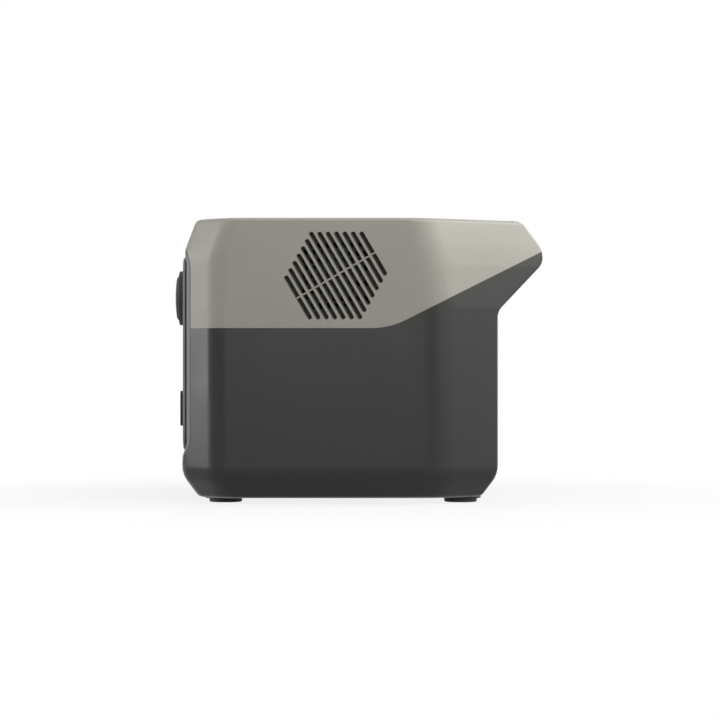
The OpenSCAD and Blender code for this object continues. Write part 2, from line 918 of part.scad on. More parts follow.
module dust_screens() {
    reach = floor((fan_size / 2 - 6) / screen_pitch);
    color([0.15, 0.14, 0.12])
        both_sides()
            at_fan()
                translate([0, 0, -fan_off])
                    linear_extrude(screen_t)
                        difference() {
                            square([fan_size, fan_size], center = true);
                            at_fan_screws()
                                circle(d = fan_post_d + 2 * fit_gap);
                            for (x = [-reach:reach], y = [-reach:reach])
                                if (abs(x) + abs(y) < 2 * reach)
                                    translate([x, y] * screen_pitch)
                                        circle(d = 4, $fn = 16);
                        }
}

// ---- Shells ----

module housing() {
    difference() {
        union() {
            difference() {
                outer_body();
                cavity();
            }
            intersection() {
                outer_body();
                union() {
                    front_rim();
                    hand_well(wall);
                }
            }
        }
        front_opening();
        hand_well(0);
    }
}

module upper_shell() {
    color(pale) {
        difference() {
            housing();
            along_x(-far, far)
                below_seam();
            both_sides()
                vent_cut();
        }
        upper_posts();
        both_sides()
            fan_posts();
    }
}

module lower_shell() {
    color(dark)
        difference() {
            union() {
                intersection() {
                    housing();
                    along_x(-far, far)
                        below_seam();
                }
                lower_posts();
                niche_walls();
                translate([0, 0, pad_z])
                    at_feet()
                        cylinder(d = foot_pad_d, h = foot_pad_h + wall / 2);
            }
            lower_post_bores();
            translate([0, 0, pad_z - over])
                at_feet()
                    cylinder(d = foot_d - 3.6 + 2 * fit_gap, h = foot_pocket + over);
            inlet_holes();
        }
}

// ---- Bezel and panel ----

panel_low = bezel_z - panel_h / 2;
panel_high = bezel_z + panel_h / 2;
ac_z = panel_low + ac_row;
top_z = panel_high - top_row;
mid_z = (ac_z + top_z) / 2;

// Heights at which the front of the housing turns, beside the bezel
rim_levels = concat([bezel_up - over], turns(lean_low, lean_r, 0, lean_a, 2), [body_h - bezel_down + over]);
rim_drop = 0.2;

module front_bezel() {
    color(dark)
        difference() {
            intersection() {
                along_y(y_front - over, y_ledge)
                    bezel_outline(0);
                skin(rim_drop, rim_levels, outer_steps);
            }
            along_y(y_front - over, y_bezel)
                bezel_outline(-bezel_rim);
            along_y(y_bezel - over, y_panel_rear)
                panel_outline(fit_gap);
            along_y(y_bezel, y_ledge + over)
                panel_outline(-panel_ledge);
        }
}

window_edge = 2;
module_edge = 1;
dc_nose_d = dc_bore + 2.4;
car_d = car_bore + 2 * car_wall;
output_r = output_h / 2 - 0.2;
output_dc_x = 27;
output_ac_x = 71;

module at_outlets() {
    for (i = [0:ac_count - 1])
        translate([(i - (ac_count - 1) / 2) * ac_pitch, ac_z])
            children();
}

module at_usb_a() {
    for (i = [0:usb_a_count - 1])
        translate([i * usb_pitch - usb_first, mid_z])
            children();
}

module at_usb_c() {
    translate([-usb_first - usb_pitch, mid_z])
        children();
}

module at_dc_jacks() {
    for (z = [-1, 1])
        translate([dc_x, top_z + z * dc_pitch / 2])
            children();
}

module panel_holes() {
    side_gap = fit_gap / 2;
    translate([-window_x, top_z])
        rounded([window_w - 2 * window_edge, window_h - 2 * window_edge], 2);
    translate([power_x, top_z])
        circle(d = power_d + 2 * button_gap);
    for (x = [output_dc_x, output_ac_x])
        translate([x, mid_z])
            rounded([output_w, output_h] + [1, 1] * 2 * button_gap, output_r + button_gap);
    at_dc_jacks()
        circle(d = dc_nose_d + 2 * side_gap);
    translate([car_x, top_z])
        circle(d = car_d + 2 * fit_gap);
    at_usb_a()
        rounded([usb_a_w, usb_a_h] + [1, 1] * 2 * side_gap, 0.6);
    at_usb_c()
        rounded([usb_c_w, usb_c_h] + [1, 1] * 2 * side_gap, usb_c_h / 2);
    at_outlets()
        rounded([ac_w, ac_h] + [1, 1] * 2 * side_gap, 3);
}

board_off = 15.5;
board_t = 1.6;
board_edge = 11;
y_board = y_panel_rear + board_off;
board_post_d = 5;
board_left = -usb_first - usb_pitch - 15;
board_right = (power_x + car_x) / 2 + 10;
board_posts = [[board_left + 4, mid_z - 6], [power_x - power_d - 1, top_z + 17],
    [board_right - 5, top_z + 17], [output_ac_x + 22, mid_z - 6]];

module front_panel() {
    color([0.16, 0.16, 0.16]) {
        difference() {
            along_y(y_panel, y_panel_rear)
                panel_outline(0);
            along_y(y_panel - over, y_panel_rear + over)
                panel_holes();
            along_y(y_panel - over, y_panel + window_t)
                translate([-window_x, top_z])
                    rounded([window_w, window_h] + [1, 1] * fit_gap, 3);
        }
        for (p = board_posts)
            translate([p.x, 0, p.y])
                difference() {
                    rod_y(board_post_d, y_panel_rear, y_board);
                    rod_y(2.2, y_panel_rear + 3, y_board + over);
                }
    }
}

module display_window() {
    color([0.05, 0.06, 0.07])
        along_y(y_panel, y_panel + window_t)
            translate([-window_x, top_z])
                rounded([window_w, window_h], 2.8);
}

module display_module() {
    color([0.2, 0.22, 0.24])
        translate([-window_x, 0, top_z]) {
            along_y(y_panel_rear, y_panel_rear + module_t)
                rounded([window_w, window_h] + [1, 1] * 2 * module_edge, 4);
            along_y(y_panel + window_t, y_panel_rear)
                square([window_w, window_h] - [1, 1] * 2 * (window_edge + 1), center = true);
        }
}

// ---- Buttons and the board behind them ----

key_t = 5;
key_size = 6;
stem_d = 5;
button_flange = 1.5;
y_key = y_board - key_t;
y_stem = y_key - button_travel - fit_gap;
y_flange = y_panel_rear + fit_gap;

module power_button() {
    color([0.2, 0.2, 0.2])
        translate([power_x, 0, top_z]) {
            rod_y(power_d, y_panel, y_flange + 1);
            rod_y(power_d + 2 * button_flange, y_flange, y_flange + 1);
            rod_y(stem_d, y_flange, y_stem);
        }
}

module output_button(x) {
    color([0.2, 0.2, 0.2])
        translate([x, 0, mid_z]) {
            along_y(y_panel, y_flange + 1)
                rounded([output_w, output_h], output_r);
            along_y(y_flange, y_flange + 1)
                rounded([output_w, output_h] + [1, 1] * 2 * button_flange, output_r);
            rod_y(stem_d, y_flange, y_stem);
        }
}

module dc_button() output_button(output_dc_x);

module ac_button() output_button(output_ac_x);

module key_switches() {
    color([0.3, 0.3, 0.32])
        for (p = [[power_x, top_z], [output_dc_x, mid_z], [output_ac_x, mid_z]])
            translate([p.x, 0, p.y]) {
                along_y(y_board - key_t + 1.5, y_board)
                    square(key_size, center = true);
                rod_y(3.5, y_key, y_board - 1);
            }
}

module io_board() {
    color(green)
        difference() {
            along_y(y_board, y_board + board_t) {
                translate([board_left, mid_z - board_edge])
                    square([board_right - board_left, top_z - mid_z + board_edge + 21]);
                translate([board_left, mid_z - board_edge])
                    square([output_ac_x + 27 - board_left, 2 * board_edge + 2]);
            }
            for (p = board_posts)
                translate([p.x, 0, p.y])
                    rod_y(2.4, y_board - over, y_board + board_t + over);
        }
}

// ---- Car outlet and its cap ----

y_car_flange = y_panel - car_flange_t;
y_car_end = y_panel + car_depth;
y_car_floor = y_car_end - 4;
contact_d = 8;
contact_t = 1.5;
hinge_off = cap_ring_d / 2 + 2.5;
hinge_x = car_x - hinge_off;
knuckle_d = hinge_pin_d + 2;
y_hinge = y_car_flange - fit_gap - knuckle_d / 2;
knuckle_h = 7.4;
ear_h = 2.5;
ear_gap = 0.3;
tab_h = knuckle_h + 2 * (ear_h + ear_gap);

module car_socket() {
    color(black)
        difference() {
            union() {
                translate([car_x, 0, top_z]) {
                    rod_y(car_flange_d, y_car_flange, y_panel);
                    rod_y(car_d, y_panel, y_car_end);
                }
                translate([hinge_x - knuckle_d / 2, y_car_flange, top_z - tab_h / 2])
                    cube([hinge_off, car_flange_t, tab_h]);
                for (s = [-1, 1])
                    translate([hinge_x, 0, top_z + s * (tab_h - ear_h) / 2])
                        hinge_ear();
            }
            translate([car_x, 0, top_z]) {
                rod_y(car_bore, y_car_flange - over, y_car_floor);
                rod_y(contact_d + 0.2, y_car_floor - over, y_car_floor + contact_t);
                rod_y(contact_d - 2, y_car_floor, y_car_end + over);
            }
            translate([hinge_x, y_hinge, top_z - tab_h])
                cylinder(d = hinge_pin_d + 0.04, h = 2 * tab_h, $fn = 24);
        }
}

module hinge_ear() {
    translate([0, y_hinge, -ear_h / 2])
        cylinder(d = knuckle_d, h = ear_h, $fn = 24);
    translate([-knuckle_d / 2, y_hinge, -ear_h / 2])
        cube([knuckle_d, y_car_flange - y_hinge + 0.2, ear_h]);
}

module cap_hinge_pin() {
    color(steel)
        translate([hinge_x, y_hinge, top_z - tab_h / 2])
            cylinder(d = hinge_pin_d, h = tab_h, $fn = 24);
}

nut_t = 6;
nut_d = car_d + 9;

module car_socket_nut() {
    color(black)
        translate([car_x, 0, top_z])
            difference() {
                along_y(y_panel_rear, y_panel_rear + nut_t)
                    circle(d = nut_d, $fn = 6);
                rod_y(car_d + 0.2, y_panel_rear - over, y_panel_rear + nut_t + over);
            }
}

module car_socket_contact() {
    color(brass)
        translate([car_x, 0, top_z]) {
            rod_y(contact_d, y_car_floor, y_car_floor + contact_t);
            rod_y(contact_d - 2.2, y_car_floor, y_car_end + 5);
        }
}

module car_socket_cap() {
    y_back = y_car_flange - fit_gap;
    y_ring = y_panel - cap_ring_h;
    y_dome = y_panel - cap_h;
    round_r = 2;
    rim_x = cap_dome_d / 2 - round_r;
    crown_fall = cap_crown_r - sqrt(pow(cap_crown_r, 2) - pow(rim_x, 2));
    color([0.13, 0.13, 0.13]) {
        translate([car_x, y_back, top_z])
            rotate([90, 0, 0])
                rotate_extrude($fn = 96)
                    union() {
                        square([cap_ring_d / 2 - 0.8, y_back - y_ring]);
                        square([cap_ring_d / 2, y_back - y_ring - 0.8]);
                        translate([cap_ring_d / 2 - 0.8, y_back - y_ring - 0.8])
                            intersection() {
                                circle(0.8, $fn = 24);
                                square(1);
                            }
                        intersection() {
                            square([rim_x, y_back - y_dome]);
                            translate([0, y_back - y_dome - cap_crown_r])
                                circle(cap_crown_r, $fn = 360);
                        }
                        square([cap_dome_d / 2, y_back - y_dome - crown_fall - round_r]);
                        translate([rim_x, y_back - y_dome - crown_fall - round_r])
                            intersection() {
                                circle(round_r, $fn = 32);
                                square(round_r + over);
                            }
                    }
        // The skirt grips the flange on the side away from the hinge
        intersection() {
            translate([car_x, 0, top_z])
                difference() {
                    rod_y(cap_ring_d, y_back - 0.5, y_panel - fit_gap);
                    rod_y(car_flange_d + 2 * fit_gap, y_back - over, y_panel + over);
                }
            translate([car_x - cap_ring_d / 8, y_back - over, top_z - cap_ring_d])
                cube([cap_ring_d, cap_ring_d, 2 * cap_ring_d]);
        }
        difference() {
            translate([hinge_x, 0, top_z - knuckle_h / 2]) {
                translate([0, y_hinge, 0])
                    cylinder(d = knuckle_d, h = knuckle_h, $fn = 24);
                translate([0, y_hinge - knuckle_d / 2, 0])
                    cube([hinge_off - cap_ring_d / 2 + 2, knuckle_d / 2, knuckle_h]);
            }
            translate([hinge_x, y_hinge, top_z - knuckle_h])
                cylinder(d = hinge_pin_d + 0.2, h = 2 * knuckle_h, $fn = 24);
        }
    }
}

// ---- DC jacks and USB ports ----

module dc_jacks() {
    color(black)
        at_dc_jack_spots()
            difference() {
                union() {
                    rod_y(dc_nose_d, y_panel, y_board - 2);
                    along_y(y_panel_rear, y_board)
                        square(dc_body, center = true);
                }
                rod_y(dc_bore, y_panel - over, y_board - 3);
                rod_y(2.1 + 2 * pin_gap, y_board - 4, y_board + over);
            }
}

module at_dc_jack_spots() {
    for (z = [-1, 1])
        translate([dc_x, 0, top_z + z * dc_pitch / 2])
            children();
}

module dc_jack_pins() {
    color(brass)
        at_dc_jack_spots()
            rod_y(2.1, y_panel + 1.5, y_board);
}

module usb_a_shells() {
    color(steel)
        difference() {
            along_y(y_panel, y_board)
                at_usb_a()
                    square([usb_a_w, usb_a_h], center = true);
            along_y(y_panel - over, y_board - usb_wall)
                at_usb_a()
                    square([usb_a_w - 2 * usb_wall, usb_a_h - 2 * usb_wall], center = true);
        }
}

usb_block = 8;

module usb_a_tongues() {
    inside = [usb_a_w - 2 * usb_wall, usb_a_h - 2 * usb_wall];
    color([0.9, 0.9, 0.88]) {
        along_y(y_board - usb_wall - usb_block, y_board - usb_wall)
            at_usb_a()
                square(inside, center = true);
        along_y(y_panel + 0.6, y_board - usb_wall - usb_block)
            at_usb_a()
                translate([1.2 - inside.x / 2, 0.2])
                    square([inside.x - 2.4, 1.9]);
    }
}

module usb_c_shells() {
    color(steel)
        difference() {
            along_y(y_panel, y_board)
                at_usb_c()
                    rounded([usb_c_w, usb_c_h], usb_c_h / 2 - 0.01);
            along_y(y_panel - over, y_board - usb_wall)
                at_usb_c()
                    rounded([usb_c_w, usb_c_h] - [2, 2] * usb_wall, usb_c_h / 2 - usb_wall - 0.01);
        }
}

module usb_c_tongues() {
    color([0.1, 0.1, 0.1]) {
        along_y(y_board - usb_wall - usb_block, y_board - usb_wall)
            at_usb_c()
                rounded([usb_c_w, usb_c_h] - [2, 2] * usb_wall, usb_c_h / 2 - usb_wall - 0.01);
        along_y(y_panel + 0.6, y_board - usb_wall - usb_block)
            at_usb_c()
                square([usb_c_w - 2 * usb_wall - 1.6, 0.7], center = true);
    }
}

// ---- Mains outlets ----

blade_x = 6.35;
blade_up = 4.4;
earth_down = 6.8;
outlet_face_t = 3;
chamber = [4.4, 9, 11];
earth_d = 5;

module at_outlet_blades() {
    for (i = [0:ac_count - 1], x = [-1, 1])
        translate([(i - (ac_count - 1) / 2) * ac_pitch + x * blade_x, ac_z + blade_up])
            children();
}

module ac_outlets() {
    y_face = y_panel - ac_proud;
    y_back = y_panel_rear + ac_depth;
    y_chamber = y_face + outlet_face_t;
    color([0.17, 0.17, 0.17])
        difference() {
            union() {
                along_y(y_face, y_panel_rear)
                    at_outlets()
                        rounded([ac_w, ac_h], 3);
                along_y(y_panel_rear, y_panel_rear + 2)
                    at_outlets()
                        square([ac_w + 4, ac_h + 4], center = true);
                along_y(y_panel_rear, y_back)
                    at_outlets()
                        square([ac_w - 4, ac_h - 1], center = true);
            }
            along_y(y_face - over, y_chamber + over) {
                at_outlet_blades()
                    square([2, 7], center = true);
                at_outlets()
                    translate([0, -earth_down])
                        circle(d = earth_d, $fn = 32);
            }
            along_y(y_chamber, y_chamber + chamber.z)
                at_outlet_blades()
                    square([chamber.x, chamber.y], center = true);
            along_y(y_chamber, y_chamber + chamber.z)
                at_outlets()
                    translate([0, -earth_down])
                        circle(d = earth_d + 1.6, $fn = 32);
        }
}

module ac_contacts() {
    y0 = y_panel - ac_proud + outlet_face_t + 0.5;
    y1 = y_panel - ac_proud + outlet_face_t + chamber.z;
    color(brass) {
        for (s = [-1, 1])
            along_y(y0, y1)
                at_outlet_blades()
                    translate([s * (chamber.x / 2 - 0.45), 0])
                        square([0.6, chamber.y - 2], center = true);
        along_y(y1 - 0.6, y1)
            at_outlet_blades()
                square([chamber.x - 0.3, chamber.y - 2], center = true);
        along_y(y0, y1)
            at_outlets()
                translate([0, -earth_down])
                    difference() {
                        circle(d = earth_d + 1.4, $fn = 32);
                        circle(d = earth_d, $fn = 32);
                    }
    }
}

// ---- Battery ----

pack_w = cell_count * cell_t;
pack_y1 = y_rear - battery_back;
pack_y0 = pack_y1 - cell_l;
z_cell = z_floor + tray_t;
z_cell_top = z_cell + cell_h;
end_plate_t = 2;
tray_wall = 2;
tray_h = 14;
terminal = [12, 14, 2];
terminal_in = 18;
bar_t = 1.2;

function cell_x(i) = (i - (cell_count - 1) / 2) * cell_t;

// Keeps a piece clear of both side walls and of the bevel under them
module between_sides() {
    low = [for (h = inner_levels) if (h <= bevel_h)
        [body_w / 2 - wall - fit_gap - edge_inset(h), foot_h + h]];
    high = [x_wall - fit_gap, z_top];
    half = concat(low, [high]);
    intersection() {
        children();
        along_y(-far, far)
            polygon(concat(half, [for (i = [len(half) - 1:-1:0]) [-half[i].x, half[i].y]]));
    }
}

module battery_tray() {
    outer = [pack_w + 2 * end_plate_t + 2 * tray_wall, cell_l + 2 * tray_wall];
    color([0.2, 0.2, 0.22])
        between_sides()
            translate([0, (pack_y0 + pack_y1) / 2, z_floor])
                difference() {
                    linear_extrude(tray_h)
                        rounded(outer, 4);
                    translate([0, 0, tray_t])
                        linear_extrude(tray_h)
                            square([outer.x - 2 * tray_wall, outer.y - 2 * tray_wall], center = true);
                    for (x = [-1, 0, 1])
                        translate([x * pack_w / 3, 0, -over])
                            linear_extrude(tray_t + 2 * over)
                                rounded([pack_w / 5, cell_l / 2], 6);
                }
}

module battery_cells() {
    color([0.25, 0.45, 0.75])
        for (i = [0:cell_count - 1])
            translate([cell_x(i), (pack_y0 + pack_y1) / 2, z_cell]) {
                linear_extrude(cell_h)
                    rounded([cell_t - 0.3, cell_l], 2.5);
                for (s = [-1, 1])
                    translate([-terminal.x / 2, s * (cell_l / 2 - terminal_in) - terminal.y / 2, cell_h])
                        cube(terminal);
            }
}

module end_plates() {
    color(steel)
        for (s = [-1, 1])
            translate([s * (pack_w + end_plate_t) / 2, (pack_y0 + pack_y1) / 2, z_cell])
                linear_extrude(cell_h)
                    square([end_plate_t - 0.2, cell_l - 4], center = true);
}

// Bars join each cell to the next, in turn at the front and the rear
module bus_bars() {
    z = z_cell_top + terminal.z;
    color(brass) {
        for (i = [0:cell_count - 2])
            let (s = i % 2 == 0 ? -1 : 1)
                translate([cell_x(i) - terminal.x / 2,
                    (pack_y0 + pack_y1) / 2 + s * (cell_l / 2 - terminal_in) - terminal.y / 2, z])
                    cube([cell_t + terminal.x, terminal.y, bar_t]);
        for (i = [0, cell_count - 1])
            let (s = i == 0 ? 1 : cell_count % 2 == 0 ? 1 : -1)
                translate([cell_x(i) - terminal.x / 2,
                    (pack_y0 + pack_y1) / 2 + s * (cell_l / 2 - terminal_in) - terminal.y / 2, z])
                    cube([terminal.x, terminal.y + 8, bar_t]);
    }
}

module bms_board() {
    y1 = pack_y0;
    z0 = z_floor + tray_h + 1;
    color(green) {
        translate([-cell_t * 3, y1 - board_t, z0])
            cube([cell_t * 6, board_t, cell_h - tray_h - 2]);
        for (x = [-2, -1, 0, 1, 2])
            translate([x * cell_t - 6, y1 - board_t - 2, z0 + 12])
                cube([12, 2, 10]);
    }
}

// ---- Deck with the inverter and the charger ----

z_deck = z_cell_top + deck_gap;
leg = 6;
leg_gap = 0.4;
leg_back = 8;
deck_w = pack_w + 2 * (end_plate_t + tray_wall + leg + 2 * leg_gap);
deck_y0 = pack_y0 + 4;
deck_y1 = pack_y1 - 4;
z_board = z_deck + deck_t + standoff_h;
inverter_w = 130;
charge_w = 72;
board_l = deck_y1 - deck_y0 - 8;
inverter_x = -34;
charge_x = inverter_x + (inverter_w + charge_w) / 2 + 6;
deck_y = (deck_y0 + deck_y1) / 2;

module at_board_corners(x, w) {
    for (i = [-1, 1], j = [-1, 1])
        translate([x + i * (w / 2 - 5), deck_y + j * (board_l / 2 - 5), 0])
            children();
}

module deck() {
    color([0.2, 0.2, 0.22])
        between_sides() {
            difference() {
                translate([0, deck_y, z_deck])
                    linear_extrude(deck_t)
                        rounded([deck_w, deck_y1 - deck_y0], 6);
                for (x = [-1, 1])
                    translate([x * pack_w / 4, deck_y, z_deck - over])
                        linear_extrude(deck_t + 2 * over)
                            rounded([pack_w / 3, 30], 8);
            }
            for (x = [-1, 1], y = [deck_y0 + leg_back, deck_y1 - leg_back])
                translate([x * (deck_w / 2 - leg / 2 - leg_gap) - leg / 2, y - leg / 2, z_floor])
                    cube([leg, leg, z_deck + deck_t / 2 - z_floor]);
        }
    color([0.2, 0.2, 0.22])
        for (b = [[inverter_x, inverter_w], [charge_x, charge_w]])
            at_board_corners(b.x, b.y)
                translate([0, 0, z_deck + deck_t])
                    difference() {
                        cylinder(d = 6, h = standoff_h);
                        translate([0, 0, 1])
                            cylinder(d = 2.4, h = standoff_h, $fn = 24);
                    }
}

module board(x, w) {
    difference() {
        translate([x - w / 2, deck_y - board_l / 2, z_board])
            cube([w, board_l, board_t]);
        translate([0, 0, z_board - over])
            at_board_corners(x, w)
                cylinder(d = 2.8, h = board_t + 2 * over, $fn = 24);
    }
}

module inverter_board() color(green) board(inverter_x, inverter_w);

module charge_board() color(green) board(charge_x, charge_w);

z_parts = z_board + board_t;
core = [42, 30, 34];
core_window = 8;
yoke_t = 7;
coil_gap = 0.3;
coil_t = 6;
core_place = [inverter_x + 42, deck_y + 30, z_parts];

module transformer() {
    leg_w = core.x / 2 - core_window;
    coil_w = core.x / 2 + core_window - 2 * coil_gap;
    translate(core_place) {
        color([0.25, 0.25, 0.25])
            difference() {
                translate([-core.x / 2, -core.y / 2, 0])
                    cube(core);
                for (s = [-1, 1])
                    translate([s * core.x / 4 - core_window / 2, -core.y, yoke_t])
                        cube([core_window, 2 * core.y, core.z - 2 * yoke_t]);
            }
        color([0.85, 0.7, 0.2])
            difference() {
                translate([-coil_w / 2, -core.y / 2 - coil_t, yoke_t + coil_gap])
                    cube([coil_w, core.y + 2 * coil_t, core.z - 2 * (yoke_t + coil_gap)]);
                translate([-leg_w / 2 - coil_gap, -core.y / 2 - coil_gap, 0])
                    cube([leg_w + 2 * coil_gap, core.y + 2 * coil_gap, core.z]);
            }
    }
}

module toroid(d, hole, h) {
    rotate_extrude($fn = 64)
        translate([(d + hole) / 4, h / 2])
            rounded([(d - hole) / 2, h], 2);
}

choke_d = 30;
choke_hole = 12;
choke_h = 14;
choke_gap = 10;

// Large chokes beside the transformer and at the rear of the charger, and a small one before it
module inductors() {
    color([0.75, 0.45, 0.2]) {
        translate(core_place - [0, core.y / 2 + choke_d / 2 + choke_gap, 0])
            toroid(choke_d, choke_hole, choke_h);
        translate([charge_x, deck_y + board_l / 2 - choke_d / 2 - choke_gap / 2, z_parts])
            toroid(choke_d, choke_hole, choke_h);
        translate([charge_x, deck_y - choke_gap / 2, z_parts])
            toroid(0.8 * choke_d, 0.8 * choke_hole, 0.8 * choke_h);
    }
}

cap_d = 16;
cap_pitch = 22;
tall_cap = 36;
low_cap = 28;

module capacitors() {
    color([0.15, 0.2, 0.35]) {
        for (i = [0:3])
            translate([inverter_x - inverter_w / 2 + cap_d / 2 + 2, deck_y + (i - 2) * cap_pitch, z_parts])
                cylinder(d = cap_d, h = tall_cap);
        for (i = [-0.5, 0.5])
            translate([charge_x + i * cap_pitch, deck_y - board_l / 2 + cap_d, z_parts])
                cylinder(d = cap_d, h = low_cap);
    }
}

sink = [26, 96, 34];
sink_base = 4;
fin_t = 1.6;
fin_pitch = 4.2;
sink_spots = [-27, 4];
transistor = [4.6, 14, 18];
transistor_pitch = 22;

// Finned heat sink, open at the top
module heat_sink() {
    rotate([90, 0, 0])
        linear_extrude(sink.y, center = true) {
            translate([-sink.x / 2, 0])
                square([sink.x, sink_base]);
            for (i = [0:floor((sink.x - fin_t) / fin_pitch)])
                translate([i * fin_pitch - sink.x / 2, 0])
                    square([fin_t, sink.z]);
        }
}

module heat_sinks() {
    color([0.72, 0.73, 0.75])
        for (x = sink_spots)
            translate([inverter_x + x, deck_y, z_parts])
                heat_sink();
}

module power_transistors() {
    color(black)
        for (x = sink_spots, i = [0:3])
            translate([inverter_x + x - sink.x / 2 - transistor.x,
                deck_y + (i - 1.5) * transistor_pitch - transistor.y / 2, z_parts + sink_base])
                cube(transistor);
}

upper_shell();
lower_shell();
front_bezel();
front_panel();
display_window();
display_module();
power_button();
dc_button();
ac_button();
key_switches();
io_board();
car_socket();
car_socket_nut();
car_socket_contact();
car_socket_cap();
cap_hinge_pin();
dc_jacks();
dc_jack_pins();
usb_a_shells();
usb_a_tongues();
usb_c_shells();
usb_c_tongues();
ac_outlets();
ac_contacts();
ac_inlet();
ac_inlet_pins();
dc_input();
dc_input_pins();
reset_breaker();
reset_button();
rubber_feet();
case_screws();
right_fan_frame();
right_fan_rotor();
left_fan_frame();
left_fan_rotor();
fan_screws();
dust_screens();
battery_tray();
battery_cells();
end_plates();
bus_bars();
bms_board();
deck();
inverter_board();
charge_board();
transformer();
inductors();
capacitors();
heat_sinks();
power_transistors();
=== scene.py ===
import json
import math

import bmesh
import bpy
from mathutils import Euler, Matrix, Vector
from mathutils.bvhtree import BVHTree
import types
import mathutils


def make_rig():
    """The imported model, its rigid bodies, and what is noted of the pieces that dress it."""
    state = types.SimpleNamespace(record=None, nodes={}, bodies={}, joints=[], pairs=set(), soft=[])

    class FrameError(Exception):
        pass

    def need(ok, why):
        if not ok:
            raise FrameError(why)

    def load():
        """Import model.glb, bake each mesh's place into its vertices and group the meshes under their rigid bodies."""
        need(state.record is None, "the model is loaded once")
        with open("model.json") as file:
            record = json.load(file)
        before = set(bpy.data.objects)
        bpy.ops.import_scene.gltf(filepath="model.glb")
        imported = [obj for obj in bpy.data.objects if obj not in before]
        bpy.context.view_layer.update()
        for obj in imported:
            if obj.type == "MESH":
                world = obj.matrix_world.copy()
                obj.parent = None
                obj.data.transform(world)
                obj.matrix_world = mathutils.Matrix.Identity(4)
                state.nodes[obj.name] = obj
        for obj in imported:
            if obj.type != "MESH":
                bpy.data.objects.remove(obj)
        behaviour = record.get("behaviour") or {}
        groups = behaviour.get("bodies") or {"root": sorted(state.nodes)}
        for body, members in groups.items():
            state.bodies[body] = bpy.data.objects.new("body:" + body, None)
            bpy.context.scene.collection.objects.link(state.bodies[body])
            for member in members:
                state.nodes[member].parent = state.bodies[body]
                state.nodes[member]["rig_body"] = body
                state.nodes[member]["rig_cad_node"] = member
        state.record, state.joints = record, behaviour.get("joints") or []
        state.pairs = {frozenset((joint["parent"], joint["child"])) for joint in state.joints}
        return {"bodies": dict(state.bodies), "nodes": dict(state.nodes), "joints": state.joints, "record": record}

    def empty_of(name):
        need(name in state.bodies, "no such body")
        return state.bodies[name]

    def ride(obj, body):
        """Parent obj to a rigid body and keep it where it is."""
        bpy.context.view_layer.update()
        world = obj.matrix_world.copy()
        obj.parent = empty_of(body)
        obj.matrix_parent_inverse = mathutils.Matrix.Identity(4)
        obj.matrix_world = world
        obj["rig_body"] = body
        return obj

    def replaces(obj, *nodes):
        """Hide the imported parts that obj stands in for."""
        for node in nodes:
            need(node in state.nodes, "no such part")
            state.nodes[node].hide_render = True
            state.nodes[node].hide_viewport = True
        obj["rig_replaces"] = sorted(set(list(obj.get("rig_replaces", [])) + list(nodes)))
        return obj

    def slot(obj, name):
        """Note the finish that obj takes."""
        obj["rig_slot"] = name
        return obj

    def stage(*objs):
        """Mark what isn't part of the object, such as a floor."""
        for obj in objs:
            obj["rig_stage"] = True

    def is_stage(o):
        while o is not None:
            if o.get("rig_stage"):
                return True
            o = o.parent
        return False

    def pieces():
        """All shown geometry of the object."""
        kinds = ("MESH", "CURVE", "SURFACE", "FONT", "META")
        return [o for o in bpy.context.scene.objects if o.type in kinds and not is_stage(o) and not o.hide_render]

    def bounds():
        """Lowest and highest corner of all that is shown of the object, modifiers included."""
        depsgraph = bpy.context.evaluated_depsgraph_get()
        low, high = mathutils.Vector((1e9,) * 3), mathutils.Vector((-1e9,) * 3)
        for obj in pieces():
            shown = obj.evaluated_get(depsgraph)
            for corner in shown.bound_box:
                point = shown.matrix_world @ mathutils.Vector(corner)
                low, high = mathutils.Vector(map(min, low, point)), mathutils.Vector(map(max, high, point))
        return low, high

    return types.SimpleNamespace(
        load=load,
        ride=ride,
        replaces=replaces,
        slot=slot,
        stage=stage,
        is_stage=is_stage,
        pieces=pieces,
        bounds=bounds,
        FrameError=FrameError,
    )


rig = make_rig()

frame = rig.load()
cad_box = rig.bounds()

# ---------------------------------------------------------------- camera and image points

PHOTO_W = 720
PHOTO_H = 720
LONG_SIDE = max(PHOTO_W, PHOTO_H)

# Places in the photograph, in its own pixels
POINTS = {
    "left_edge": (176.1, 292.0),
    "right_edge": (543.3, 256.5),
    "top_edge": (300.0, 218.0),
    "bottom_edge": (225.0, 502.2),
    "cap_top": (180.3, 270.5),
    "cap_bottom": (180.9, 325.0),
    "outlet_top": (180.2, 390.3),
    "outlet_bottom": (180.2, 424.9),
    "seam_front": (300.0, 328.1),
    "seam_rear": (502.0, 270.3),
    "vent_left": (284.5, 276.0),
    "vent_top": (340.0, 231.5),
    "vent_bottom": (335.0, 320.0),
    "rear_wall": (498.2, 400.0),
    "front_foot": (209.0, 501.5),
    "rear_foot": (477.0, 501.5),
    "handle_fleck": (512.0, 222.0),
}

CAMERA_PLACE = Vector((1.9345, 0.00035, 0.0994))
CAMERA_TURN = Euler((math.radians(90), 0, math.radians(90)))
CAMERA_LENS = 131.4
SENSOR_WIDTH = 36.0

camera_data = bpy.data.cameras.new("camera")
camera_data.lens = CAMERA_LENS
camera_data.sensor_width = SENSOR_WIDTH
camera_data.sensor_fit = "AUTO"
camera_data.clip_start = 0.05
camera_data.clip_end = 50
camera = bpy.data.objects.new("camera", camera_data)
camera.location = CAMERA_PLACE
camera.rotation_euler = CAMERA_TURN
bpy.context.scene.collection.objects.link(camera)
bpy.context.scene.camera = camera
CAMERA_FRAME = Matrix.Translation(CAMERA_PLACE) @ CAMERA_TURN.to_matrix().to_4x4()


